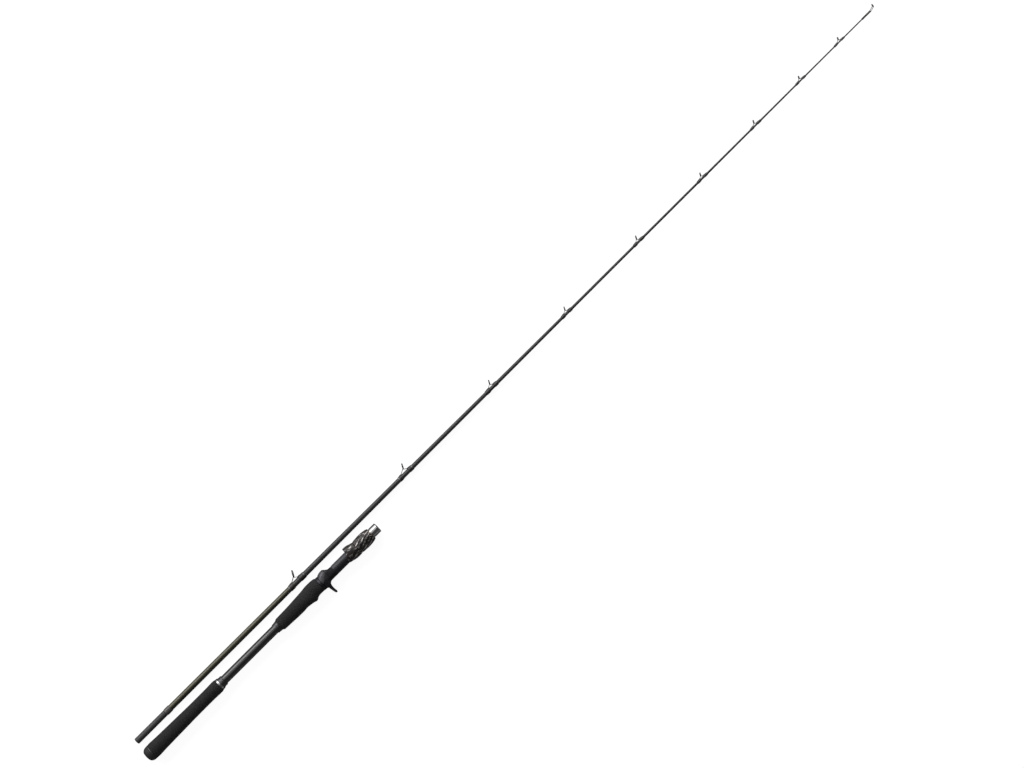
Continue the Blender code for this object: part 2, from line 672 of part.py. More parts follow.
def seat_stations():
    """Rear dome of the seat, its cheeks, and the plain barrel as far as the seat's front end."""
    # Place from the seat's rear end, rise of the top, the bottom and the sides over the barrel, and
    # power of the upper half
    rows = [(0, 3.6, 4.6, 3.8, 2), (3.4, 5.1, 4.7, 3.8, 2.5), (6.4, 6.0, 4.0, 3.6, 2.8)]
    rows += [(8.6, 6.2, 2.4, 3.1, 3), (10.9, 6.2, 0.7, 2.6, 3), (12.9, 6.0, 0.1, 2.2, 3)]
    rows += [(15.4, 4.2, 0, 1.5, 2.8), (18.4, 2.4, 0, 0.9, 2.5), (21.4, 1.0, 0, 0.4, 2.2)]
    rows += [(25.4, 0, 0, 0, 2)]
    stations = [
        (SEAT_START + x * MM, BARREL + top * MM, BARREL + depth * MM, BARREL + half * MM, power)
        for x, top, depth, half, power in rows
    ]
    return stations + [(SEAT_END, BARREL, BARREL, BARREL, 2)]


def make_seat_channel(owner):
    """Room for the reel's foot: a pocket under the rear dome that opens forwards between cheeks."""
    blind = SEAT_START + REAR_POCKET
    mouth = SEAT_START + REAR_MOUTH
    front = SEAT_START + BED_START
    floor = BARREL + GAP
    outline = [(blind, floor), (blind, CEILING - 1.6 * MM), (blind + 3 * MM, CEILING)]
    outline += [(mouth, CEILING), (mouth, 2 * CEILING), (front, 2 * CEILING), (front, floor)]
    return plate("seat_channel", owner, outline, POCKET_HALF_WIDTH, POCKET_CORNER, BED + GAP)


def male_thread(owner):
    turns = int((SEAT_END - THREAD_START - THREAD_ROOT_WIDTH) / PITCH)
    root = BARREL - GAP
    thread = ridge(
        "barrel_thread",
        owner,
        THREAD_START + THREAD_ROOT_WIDTH / 2,
        turns,
        root,
        THREAD_CREST,
        THREAD_ROOT_WIDTH,
        THREAD_CREST_WIDTH,
    )
    slot = KEY_HALF_WIDTH + GAP
    low = (THREAD_START - PITCH, -THREAD_CREST - MM, -slot)
    high = (SEAT_END + PITCH, -root + MM, slot)
    combine(thread, "DIFFERENCE", block("key_slot", owner, low, high))
    return thread


def make_reel_seat(owner):
    seat = loft("reel_seat", owner, RESIN, seat_stations())
    bed_start = SEAT_START + BED_START
    low = (bed_start, BARREL - 1.8 * MM, -BED_HALF_WIDTH)
    high = (bed_start + BED_LENGTH, BED, BED_HALF_WIDTH)
    combine(seat, "UNION", make_trigger(owner), block("foot_bed", owner, low, high))
    combine(seat, "UNION", male_thread(owner))
    combine(seat, "DIFFERENCE", make_seat_channel(owner))
    bore = bar("seat_bore", owner, SEAT_START - MM, SEAT_END + MM, BORE)
    combine(seat, "DIFFERENCE", bore)


def hood_stations():
    # As for the seat, from the hood's rear end
    rows = [(0, 1.3, 0.9, 0.9, 2), (5.0, 6.5, 1.9, 2.4, 2.8), (9.5, 6.4, 3.0, 3.0, 2.8)]
    rows += [(14.0, 5.7, 3.7, 3.4, 2.5), (18.5, 4.3, 3.8, 3.3, 2.2), (23.3, 2.9, 3.4, 3.0, 2)]
    stretch = (HOOD_END - HOOD_START) / (23.3 * MM)
    return [
        (
            HOOD_START + x * MM * stretch,
            BARREL + top * MM,
            BARREL + depth * MM,
            BARREL + half * MM,
            power,
        )
        for x, top, depth, half, power in rows
    ]


def make_front_hood(owner):
    """The sliding hood: a roofed pocket for the front of the reel's foot, a round bore over the
    thread, a key that stops it turning, and a lipped neck that the nut holds."""
    hood = loft("front_hood", owner, WOVEN, hood_stations())
    neck_end = HOOD_END + NECK_LENGTH
    neck = bar("hood_neck", owner, HOOD_END - 4 * MM, neck_end, NECK_RADIUS)
    lip = bar("hood_lip", owner, neck_end - LIP_LENGTH, neck_end, LIP_RADIUS)
    combine(hood, "UNION", neck, lip)
    wide = bar("hood_bore", owner, BORE_STEP, neck_end + MM, HOOD_BORE)
    narrow = bar("skirt_bore", owner, HOOD_START - MM, BORE_STEP + MM, BARREL + GAP)
    mouth = HOOD_START + HOOD_SKIRT
    back = HOOD_START - MM
    outline = [(back, 0), (back, CEILING), (mouth, CEILING)]
    outline += [(mouth + HOOD_POCKET, CEILING - 0.6 * MM), (mouth + HOOD_POCKET, 0)]
    pocket = plate("hood_pocket", owner, outline, POCKET_HALF_WIDTH, POCKET_CORNER, BED + GAP)
    outline = [(back, -BARREL / 2), (mouth, BARREL / 2), (mouth, 2 * CEILING)]
    outline += [(back, 2 * CEILING)]
    face = plate("hood_face", owner, outline, 2 * CEILING, 0, 0)
    combine(hood, "DIFFERENCE", wide, narrow, pocket, face)
    low = (BORE_STEP + MM, -HOOD_BORE - NECK_WALL / 2, -KEY_HALF_WIDTH)
    high = (HOOD_END, -BARREL - GAP, KEY_HALF_WIDTH)
    combine(hood, "UNION", block("hood_key", owner, low, high))


def make_lock_nut(owner):
    """The barrel-shaped nut: a groove for the hood's lip, then the thread through to its front."""
    end = NUT_START + NUT_LENGTH
    # Share of the nut's length from its rear end, and how far it is under the full radius
    shape = [(0, 1.6), (0.10, 1.2), (0.26, 0.5), (0.46, 0), (0.66, 0.2), (0.85, 0.9)]
    shape += [(0.96, 1.8), (1, 2.2)]
    outline = [
        (NUT_START + share * NUT_LENGTH, NUT_RADIUS - under * MM)
        for share, under in reversed(shape)
    ]
    neck_end = HOOD_END + NECK_LENGTH
    groove = neck_end - LIP_LENGTH - GAP
    minor = BARREL + GAP
    outline += [(NUT_START, NECK_RADIUS + GAP), (groove, NECK_RADIUS + GAP)]
    outline += [(groove, LIP_RADIUS + GAP), (neck_end + GAP, LIP_RADIUS + GAP)]
    thread_end = neck_end + GAP + NUT_THREAD
    relief = THREAD_CREST + 2 * GAP
    outline += [(neck_end + GAP, minor), (thread_end, minor), (thread_end, relief), (end, relief)]
    nut = turned("lock_nut", owner, WOVEN, outline)
    skipped = int((neck_end - THREAD_START) / PITCH) - 1
    start = THREAD_START + THREAD_ROOT_WIDTH / 2 + skipped * PITCH
    turns = math.ceil((thread_end - start) / PITCH) + 1
    cutter = ridge(
        "nut_thread",
        owner,
        start,
        turns,
        BARREL - GAP,
        THREAD_CREST + GAP,
        THREAD_ROOT_WIDTH + 2 * THREAD_SIDE_ROOM,
        THREAD_CREST_WIDTH + 2 * THREAD_SIDE_ROOM,
    )
    combine(nut, "DIFFERENCE", cutter)


def make_socket(owner):
    """The socket that carries the tube on to the front and takes the ferrule, the polished collar
    on it, and the stop at the bottom of it."""
    end = HANDLE_LENGTH
    outer = BORE + COLLAR_WALL
    lip = end - COLLAR_LIP
    outline = [(end, outer - EDGE), (end - EDGE, outer), (COLLAR_START, outer)]
    outline += [(COLLAR_START, BORE), (lip, BORE), (lip, SOCKET_RADIUS), (end, SOCKET_RADIUS)]
    turned("front_collar", owner, STEEL, outline)
    start = SOCKET_START
    sleeve("ferrule_socket", owner, BRASS, start, SOCKET_END, SOCKET_RADIUS, TUBE_RADIUS)
    rear = TUBE_END - STOP_LENGTH
    radius = TUBE_BORE - GAP
    outline = [(TUBE_END, 0), (TUBE_END, radius), (rear, radius), (rear, 0)]
    turned("socket_stop", owner, RUBBER, outline)


def make_handle():
    owner = frame_empty("handle", (BUTT_X, HANDLE_Y, HANDLE_Z))
    make_butt(owner)
    make_rear_grip(owner)
    make_checks(owner)
    make_tube(owner)
    make_main_grip(owner)
    make_reel_seat(owner)
    make_socket(owner)
    carriage = frame_empty("hood_carriage", (0, 0, 0), owner)
    make_front_hood(carriage)
    make_lock_nut(frame_empty("nut_axis", (0, 0, 0), carriage))


clear_scene()
PARTS = collection("casting_rod")
HELPERS = collection("cutters")
CARBON = finish("carbon_blank", (0.035, 0.036, 0.036), 0.0, 0.3)
FOAM = finish("grip_foam", (0.018, 0.018, 0.019), 0.0, 0.9)
RUBBER = finish("black_rubber", (0.02, 0.02, 0.02), 0.0, 0.8)
RESIN = finish("seat_resin", (0.022, 0.023, 0.028), 0.0, 0.45)
WOVEN = finish("woven_carbon", (0.045, 0.038, 0.034), 0.1, 0.25)
THREAD = finish("wrap_thread", (0.02, 0.014, 0.012), 0.0, 0.25)
ALLOY = finish("satin_alloy", (0.35, 0.35, 0.37), 1.0, 0.35)
STEEL = finish("polished_steel", (0.7, 0.7, 0.7), 1.0, 0.12)
BRASS = finish("ferrule_brass", (0.62, 0.48, 0.26), 1.0, 0.35)
GUIDE_METAL = finish("guide_metal", (0.13, 0.13, 0.135), 1.0, 0.35)
CERAMIC = finish("ring_ceramic", (0.05, 0.055, 0.06), 0.0, 0.12)
make_tip_section()
make_handle()
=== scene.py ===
"""Finishes a two-piece casting rod around its fixed frame: each visible piece is modelled in fine
detail at the place that the frame gives it, with its own procedural finish, on a plain stage."""

import math

import bmesh
import bpy
from bpy.props import (
    FloatProperty,
    FloatVectorProperty,
    IntProperty,
    PointerProperty,
)
from mathutils import Matrix, Vector


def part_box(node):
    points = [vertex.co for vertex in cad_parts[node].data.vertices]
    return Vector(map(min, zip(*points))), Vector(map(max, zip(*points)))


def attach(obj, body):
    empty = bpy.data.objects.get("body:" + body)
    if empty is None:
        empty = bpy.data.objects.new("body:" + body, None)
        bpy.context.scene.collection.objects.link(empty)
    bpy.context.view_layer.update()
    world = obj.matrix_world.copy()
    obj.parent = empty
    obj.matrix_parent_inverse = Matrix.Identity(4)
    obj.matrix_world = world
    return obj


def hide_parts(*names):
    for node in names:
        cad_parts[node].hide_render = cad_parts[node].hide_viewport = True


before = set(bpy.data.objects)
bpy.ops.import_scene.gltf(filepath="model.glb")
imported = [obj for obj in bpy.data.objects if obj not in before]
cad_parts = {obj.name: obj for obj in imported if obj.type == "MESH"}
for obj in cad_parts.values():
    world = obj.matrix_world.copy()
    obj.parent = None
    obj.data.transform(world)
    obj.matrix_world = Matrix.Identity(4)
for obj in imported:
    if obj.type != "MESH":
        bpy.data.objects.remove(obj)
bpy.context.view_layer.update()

bl_info = {
    "name": "Casting Rod",
    "version": (1, 0, 0),
    "blender": (4, 5, 0),
    "location": "View3D > Sidebar > Casting Rod",
    "description": "Models a two-piece casting rod and its finishes around a fixed frame",
    "category": "Object",
}

MM = 0.001
TURN = 2 * math.pi
WELD = 0.000001  # points closer than this are one
CREASE = math.radians(28)  # an edge that bends more than this is rounded
ROUND = 96  # steps of a large turned piece
RING = 64  # steps of a guide's ring
GUIDES = range(1, 10)
TRIMMED = 2  # guides whose wraps end in a bright band

# The blank's taper: share of its length from the butt, and share of the taper left there
TAPER = [(0, 1), (0.05, 0.97), (0.21, 0.86), (0.29, 0.77), (0.40, 0.60), (0.50, 0.45)]
TAPER += [(0.62, 0.28), (0.75, 0.19), (0.87, 0.09), (1, 0)]
TIP_RADIUS = 1.0 * MM
RING_LEAN = math.radians(28)
TIP_LEAN = math.radians(12)
BAND = 0.5 * MM  # thickness of a guide's band
# Where the legs meet the band, from its lowest point
LEGS = math.radians(50)
TIP_LEGS = math.radians(80)


# ---------------------------------------------------------------- places in the frame
def middle(node):
    low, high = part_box(node)
    return (low + high) / 2


def ends(node):
    """Lowest and highest X of a node."""
    low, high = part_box(node)
    return low.x, high.x


def across(node):
    """Largest radius of a round node, from its width in Z."""
    low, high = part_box(node)
    return (high.z - low.z) / 2


def on_line(node):
    """The line along X through a node's middle, as its point at X = 0."""
    spot = middle(node)
    return Vector((0, spot.y, spot.z))


HANDLE_LINE = on_line("handle_tube")
TIP_LINE = on_line("blank")
TUBE = across("handle_tube")
TIP_BUTT_X = ends("butt_plug")[0]
TIP_END_X = ends("tip_top_frame")[1]
BLANK = across("blank")
GRIP_BORE = TUBE + 0.05 * MM
BORE = TUBE + 0.3 * MM  # of the seat
BARREL = TUBE + 1.0 * MM
CREST = BARREL + 0.9 * MM  # of the thread
NECK = CREST + 0.9 * MM  # of the hood's neck inside the nut


def blank_radius(x):
    """Radius of the blank at a place along the frame's X."""
    length = TIP_END_X - TIP_BUTT_X
    (left,) = flow(TAPER, (x - TIP_BUTT_X) / length)
    return TIP_RADIUS + (BLANK - TIP_RADIUS) * left


def clamped(share):
    return min(max(share, 0), 1)


def eased(share):
    """A share from 0 to 1, with a soft start and a soft end."""
    share = clamped(share)
    return share * share * (3 - 2 * share)


def flow(rows, x):
    """What a smooth line through rows of (x, values...) gives at x. It never swings past them."""
    x = min(max(x, rows[0][0]), rows[-1][0])
    at = max(k for k in range(len(rows) - 1) if rows[k][0] <= x)
    left, right = rows[at], rows[at + 1]
    span = right[0] - left[0]
    share = (x - left[0]) / span
    values = []
    for column in range(1, len(left)):
        rises = [
            (b[column] - a[column]) / (b[0] - a[0])
            for a, b in zip(rows[max(at - 1, 0) :], rows[max(at - 1, 0) + 1 : at + 3])
        ]
        here = 1 if at > 0 else 0
        slopes = []
        for before, after in ((here - 1, here), (here, here + 1)):
            inside = before >= 0 and after < len(rises)
            level = not inside or rises[before] * rises[after] <= 0
            slopes.append(0 if level else 2 / (1 / rises[before] + 1 / rises[after]))
        lift = share * (1 - share) ** 2 * slopes[0] - share**2 * (1 - share) * slopes[1]
        rise = right[column] - left[column]
        values.append(left[column] + rise * eased(share) + span * lift)
    return values


# ---------------------------------------------------------------- shapes
def spun(outline, line, steps=ROUND):
    """A turned shape about a line along X. outline is (x, radius) pairs; one that never touches
    the line is the cross-section of a ring."""
    shape = bmesh.new()
    verts = [shape.verts.new((x, line.y + radius, line.z)) for x, radius in outline]
    pairs = list(zip(verts, verts[1:]))
    if all(radius > 0 for x, radius in outline):
        pairs.append((verts[-1], verts[0]))
    edges = [shape.edges.new(pair) for pair in pairs]
    bmesh.ops.spin(
        shape,
        geom=verts + edges,
        cent=line,
        axis=(1, 0, 0),
        dvec=(0, 0, 0),
        angle=TURN,
        steps=steps,
        use_merge=True,
        use_duplicate=False,
    )
    bmesh.ops.remove_doubles(shape, verts=shape.verts, dist=WELD)
    bmesh.ops.recalc_face_normals(shape, faces=shape.faces)
    return shape


def stepped(x, radius, steps):
    """Points of an outline, as (x, radius) steps in millimetres from one corner."""
    return [(x + ahead * MM, radius + out * MM) for ahead, out in steps]


def soften(shape, width):
    """Rounds the sharp edges of a shape."""
    sharp = [e for e in shape.edges if len(e.link_faces) == 2 and e.calc_face_angle() > CREASE]
    bmesh.ops.bevel(
        shape,
        geom=sharp,
        offset=width,
        segments=3,
        profile=0.5,
        affect="EDGES",
        material=-1,
        clamp_overlap=True,
    )
    return shape


def tube(node, line, bore, radius, edge=0.2 * MM):
    """A plain sleeve in a node's place, with rounded rims."""
    start, end = ends(node)
    outline = [(end, radius), (start, radius), (start, bore), (end, bore)]
    return soften(spun(outline, line), edge)


def plain(radius, angle):
    """Height and offset of a point that stays on a turned shape."""
    return radius * math.cos(angle), radius * math.sin(angle)


def swell(shape, line, rule):
    """Moves each point towards or away from a line along X. rule(x, radius, angle) gives its new
    height over the line and its new offset in Z; the angle starts at the upper side."""
    for vert in shape.verts:
        up, over = vert.co.y - line.y, vert.co.z - line.z
        radius, angle = math.hypot(up, over), math.atan2(over, up)
        height, offset = rule(vert.co.x, radius, angle)
        vert.co.y, vert.co.z = line.y + height, line.z + offset
    return shape


def lofted(places, segments):
    """A closed skin through circles, each laid in place by its own matrix."""
    shape = bmesh.new()
    loops = []
    for index, place in enumerate(places):
        made = bmesh.ops.create_circle(
            shape,
            cap_ends=index in (0, len(places) - 1),
            radius=1,
            segments=segments,
            matrix=place,
        )
        loops.append({edge for vert in made["verts"] for edge in vert.link_edges})
    for rear, front in zip(loops, loops[1:]):
        bmesh.ops.bridge_loops(shape, edges=[*rear, *front])
    bmesh.ops.recalc_face_normals(shape, faces=shape.faces)
    return shape


def along(points, sizes):
    """A rod through points, with a half width and a half thickness at each."""
    places = []
    for index, (point, (wide, thick)) in enumerate(zip(points, sizes)):
        before = points[max(index - 1, 0)]
        after = points[min(index + 1, len(points) - 1)]
        turn = (after - before).to_track_quat("Z", "Y").to_matrix().to_4x4()
        size = Matrix.Diagonal((wide, thick, 1, 1))
        places.append(Matrix.Translation(point) @ turn @ size)
    return lofted(places, 12)


def slab(low, high, edge):
    """A block between two corners, with rounded edges."""
    low, high = Vector(low), Vector(high)
    shape = bmesh.new()
    size = Matrix.Diagonal((*(high - low), 1))
    bmesh.ops.create_cube(shape, size=1, matrix=Matrix.Translation((low + high) / 2) @ size)
    return soften(shape, edge)


def prism(outline, line, half_width):
    """A solid with an outline in X and in height over a line, and a width in Z."""
    shape = bmesh.new()
    rim = [shape.verts.new((x, line.y + up, line.z - half_width)) for x, up in outline]
    face = shape.faces.new(rim)
    sides = bmesh.ops.extrude_face_region(shape, geom=[face])["geom"]
    moved = [item for item in sides if isinstance(item, bmesh.types.BMVert)]
    bmesh.ops.translate(shape, verts=moved, vec=(0, 0, 2 * half_width))
    bmesh.ops.recalc_face_normals(shape, faces=shape.faces)
    return shape


# ---------------------------------------------------------------- objects
def shown(name, shape, look, smooth=35):
    """An object of a shape. An edge that bends more than smooth, in degrees, stays sharp."""
    mesh = bpy.data.meshes.new(name)
    shape.to_mesh(mesh)
    shape.free()
    mesh.materials.append(look)
    mesh.shade_smooth()
    mesh.set_sharp_from_angle(angle=math.radians(smooth))
    piece = bpy.data.objects.new(name, mesh)
    bpy.context.scene.collection.objects.link(piece)
    return piece


def join_up(piece, operation, shapes):
    """Adds shapes to a piece or cuts them from it, and leaves one plain mesh."""
    tools = []
    for index, shape in enumerate(shapes):
        tool = shown(f"{piece.name}_tool_{index}", shape, piece.data.materials[0])
        step = piece.modifiers.new(tool.name, "BOOLEAN")
        step.operation = operation
        step.solver = "EXACT"
        step.object = tool
        tools.append(tool)
    settle(piece)
    for tool in tools:
        bpy.data.objects.remove(tool)


def settle(piece, smooth=35):
    """Turns a piece's modifiers into its mesh."""
    bpy.context.view_layer.update()
    graph = bpy.context.evaluated_depsgraph_get()
    mesh = bpy.data.meshes.new_from_object(piece.evaluated_get(graph))
    piece.modifiers.clear()
    piece.data = mesh
    mesh.shade_smooth()
    mesh.set_sharp_from_angle(angle=math.radians(smooth))


def mould(piece, grain, passes):
    """Melts a piece's parts into one skin with soft inner corners, as a moulding has."""
    skin = piece.modifiers.new("skin", "REMESH")
    skin.mode = "VOXEL"
    skin.voxel_size = grain
    skin.use_smooth_shade = True
    even = piece.modifiers.new("even", "SMOOTH")
    even.factor = 0.5
    even.iterations = passes
    settle(piece, 60)


def place(piece, body, slot, *nodes):
    """Hands a piece to the body it moves with and hides the nodes it stands for. slot is not used.
    """
    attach(piece, body)
    if nodes:
        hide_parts(*nodes)
    return piece


def put(name, shape, look, body, slot, *nodes, smooth=35):
    return place(shown(name, shape, look, smooth), body, slot, *nodes)


# ---------------------------------------------------------------- finishes
class Term:
    """A shader value that Python's operators work on: each adds the Math node that it needs."""

    def __init__(self, look, socket):
        self.look = look
        self.socket = socket

    def math(self, operation, *values):
        return self.look.node("ShaderNodeMath", {"operation": operation}, *values)

    def __add__(self, other):
        return self.math("ADD", self, other)

    def __radd__(self, other):
        return self.math("ADD", other, self)

    def __sub__(self, other):
        return self.math("SUBTRACT", self, other)

    def __rsub__(self, other):
        return self.math("SUBTRACT", other, self)

    def __mul__(self, other):
        return self.math("MULTIPLY", self, other)

    def __rmul__(self, other):
        return self.math("MULTIPLY", other, self)

    def __truediv__(self, other):
        return self.math("DIVIDE", self, other)

    def __rtruediv__(self, other):
        return self.math("DIVIDE", other, self)

    def wave(self):
        """A sine that runs between 0 and 1."""
        return self.math("SINE", self) * 0.5 + 0.5

    def between(self, low, high):
        """0 below low, 1 above high, and a soft step between them."""
        settings = {"interpolation_type": "SMOOTHSTEP"}
        return self.look.node("ShaderNodeMapRange", settings, self, low, high, 0.0, 1.0)


class Look:
    """One procedural finish, on Object coordinates."""

    def __init__(self, name, **constants):
        self.material = bpy.data.materials.new(name)
        self.material.use_nodes = True
        self.tree = self.material.node_tree
        self.shader = self.tree.nodes["Principled BSDF"]
        self.set(**constants)

    def node(self, kind, settings, *values, out=0, **named):
        made = self.tree.nodes.new(kind)
        for key, value in settings.items():
            setattr(made, key, value)
        for socket, value in zip(made.inputs, values):
            self.feed(socket, value)
        for key, value in named.items():
            self.feed(made.inputs[key.replace("_", " ")], value)
        return Term(self, made.outputs[out])

    def feed(self, socket, value):
        if isinstance(value, Term):
            self.tree.links.new(value.socket, socket)
        elif value is not None:
            socket.default_value = value

    def set(self, **values):
        """Feeds the shader's own sockets, with _ for each space in their names."""
        for key, value in values.items():
            self.feed(self.shader.inputs[key.replace("_", " ")], value)

    def spot(self):
        """The place of a point on the object."""
        return self.node("ShaderNodeTexCoord", {}, out=3)

    def split(self, vector):
        parts = self.node("ShaderNodeSeparateXYZ", {}, vector)
        outputs = parts.socket.node.outputs
        return [Term(self, outputs[axis]) for axis in range(3)]

    def about(self, line):
        """X, height over a line along X, and the angle round it."""
        x, y, z = self.split(self.spot())
        up, over = y - line.y, z - line.z
        return x, up, up.math("ARCTAN2", over, up)

    def join(self, x, y, z):
        return self.node("ShaderNodeCombineXYZ", {}, x, y, z)

    def noise(self, vector, scale, detail=2.0, rough=0.5, warp=0.0):
        named = {"Scale": scale, "Detail": detail, "Roughness": rough, "Distortion": warp}
        return self.node("ShaderNodeTexNoise", {}, Vector=vector, **named)

    def cells(self, vector, scale):
        return self.node("ShaderNodeTexVoronoi", {}, Vector=vector, Scale=scale)

    def blend(self, share, first, second):
        """The first colour where share is 0, and the second where it is 1."""
        pair = [tone if isinstance(tone, Term) else (*tone, 1) for tone in (first, second)]
        skipped = [None] * 5  # sockets for numbers and vectors
        return self.node("ShaderNodeMix", {"data_type": "RGBA"}, share, *skipped, *pair, out=2)

    def bump(self, height, depth):
        named = {"Strength": 1.0, "Distance": depth, "Height": height}
        return self.node("ShaderNodeBump", {}, **named)

    def done(self, base, roughness, height, depth):
        """The material, with its colour, its roughness and the relief of its surface."""
        self.set(Base_Color=base, Roughness=roughness, Normal=self.bump(height, depth))
        return self.material


def shade(colour, share):
    return tuple(channel * share for channel in colour)


def winding(x, angle, pitch):
    """The faint ridge of a tape that winds round a line."""
    return ((x / pitch + angle / TURN) * TURN).wave()


def shared(name, make, *settings):
    """A finish that several pieces share: made once, then found by its name."""
    return bpy.data.materials.get(name) or make(name, *settings)


def foam_look(name, colour, pore):
    """Closed-cell foam: fine open pores with painted shade in them, a faint mottle and darker
    rubbed patches.
    """
    look = Look(name, Specular_IOR_Level=0.35)
    spot = look.spot()
    pores = look.cells(spot, 1 / pore)
    fine = look.noise(spot, 3 / pore, 3.0, 0.6)
    mottle = look.noise(spot, 90.0, 4.0, 0.6)
    worn = look.noise(spot, 22.0)
    grain = (fine * 0.6 + mottle * 0.4).between(0.3, 0.75)
    base = look.blend(grain, shade(colour, 0.72), shade(colour, 1.4))
    base = look.blend(worn.between(0.45, 0.8) * 0.35, base, shade(colour, 1.9))
    # Painted shade in the pores: each cell's colour is darker towards its middle.
    base = look.blend(pores.between(0.05, 0.4), shade(colour, 0.3), base)
    rough = 0.78 + fine * 0.2 - worn * 0.08
    return look.done(base, rough, pores * 0.9 + fine * 0.5 + mottle * 0.4, 0.3 * MM)


def rubber_look(name, colour):
    """Moulded rubber: satin, with a fine spark-eroded texture and slight dust in it."""
    look = Look(name, Specular_IOR_Level=0.4)
    spot = look.spot()
    fine = look.noise(spot, 2600.0)
    dust = look.noise(spot, 160.0, 5.0, 0.65)
    base = look.blend(dust.between(0.5, 0.85) * 0.5, colour, shade(colour, 2.2))
    return look.done(base, 0.55 + fine * 0.2 + dust * 0.1, fine, 0.05 * MM)


def turned_look(name, line, colour, roughness, lines):
    """Lathe-turned metal: fine rings round a line, a few deeper ones, and soft smears."""
    look = Look(name, Metallic=1.0)
    x, _, _ = look.about(line)
    rings = look.noise(look.join(x, 0.0, 0.0), 1 / lines, 2.0, 0.7)
    coarse = look.noise(look.join(x, 0.0, 0.0), 0.18 / lines, 1.0, 0.5)
    smear = look.noise(look.spot(), 120.0, 3.0, 0.6)
    base = look.blend(rings * 0.6 + smear * 0.4, shade(colour, 0.72), shade(colour, 1.15))
    rough = roughness + rings * 0.1 + smear * 0.12 - 0.08
    return look.done(base, rough, rings + coarse, 0.012 * MM)


def gloss_look(name, line, colour, tape, fleck):
    """Clear-coated carbon: faint winding of the tape round the tube under a glossy coat."""
    look = Look(name, Coat_Weight=0.8, Coat_Roughness=0.12, Coat_IOR=1.5)
    x, _, angle = look.about(line)
    wind = winding(x, angle, tape)
    fibre = look.noise(look.join(x * 2.5, angle * 0.05, 0.0), 900.0, 3.0, 0.6)
    patch = look.noise(look.spot(), 45.0, 3.0, 0.55)
    base = look.blend(fibre.between(0.35, 0.8), shade(colour, 0.7), fleck)
    rough = 0.24 + fibre * 0.14 + patch * 0.08
    return look.done(base, rough, wind * 0.5 + fibre * 0.12, 0.02 * MM)


def blank_look(name, line, start, colours, stops, tape):
    """The blank: a ground ferrule, then an olive pearl coat that ends in a satin grey one."""
    look = Look(name, Coat_Roughness=0.14, Coat_IOR=1.5)
    x, _, angle = look.about(line)
    run = x - start
    ferrule, olive, satin, end = colours
    coat, grey, tip = [run.between(low, high) for low, high in stops]
    base = look.blend(coat, ferrule, olive)
    base = look.blend(grey, base, satin)
    base = look.blend(tip, base, end)
    wind = winding(x, angle, tape)
    fibre = look.noise(look.join(x * 2.0, angle * 0.03, 0.0), 1100.0, 3.0, 0.6)
    patch = look.noise(look.join(x, angle * 0.004, 0.0), 70.0, 4.0, 0.6)
    tone = fibre * 0.5 + patch * 0.5
    base = look.blend(tone.between(0.35, 0.75) * 0.45, base, shade(ferrule, 0.45))
    coated = coat * (1 - grey)
    look.set(Metallic=coated * 0.6 + 0.1, Coat_Weight=coated * 0.5 + grey * 0.15)
    rough = 0.5 - coated * 0.16 - grey * 0.08 + tone * 0.1
    return look.done(base, rough, wind * 0.6 + fibre * 0.15, 0.02 * MM)


def thread_look(name, line, colour, strand):
    """Whipping thread under clear resin: strands side by side, with a pooled glossy coat."""
    look = Look(name, Coat_Weight=0.45, Coat_Roughness=0.16, Coat_IOR=1.5)
    x, _, angle = look.about(line)
    strands = (x * (TURN / strand) + angle).wave()
    tone = look.noise(look.join(x * 6.0, angle * 0.02, 0.0), 500.0, 3.0, 0.6)
    pool = look.noise(look.spot(), 260.0)
    share = strands * 0.55 + tone * 0.45
    base = look.blend(share, shade(colour, 0.4), shade(colour, 1.4))
    return look.done(base, 0.42 + tone * 0.2, strands * 0.25 + pool * 0.5, 0.02 * MM)


def smoked_look(name, colour):
    """Smoked metal of the guide frames: dark plating with pressed and filed marks."""
    look = Look(name, Metallic=1.0)
    spot = look.spot()
    marks = look.noise(spot, 900.0, 4.0, 0.7)
    worn = look.noise(spot, 210.0, 3.0, 0.6)
    base = look.blend(worn.between(0.4, 0.7), colour, shade(colour, 1.6))
    return look.done(base, 0.24 + marks * 0.16, marks, 0.02 * MM)


def ceramic_look(name, colour):
    """Polished dark ceramic, with a faint cloudiness."""
    look = Look(name, Specular_IOR_Level=0.8)
    cloud = look.noise(look.spot(), 420.0, 4.0, 0.6)
    base = look.blend(cloud.between(0.35, 0.75), shade(colour, 0.7), shade(colour, 1.4))
    return look.done(base, 0.08 + cloud * 0.1, cloud, 0.004 * MM)


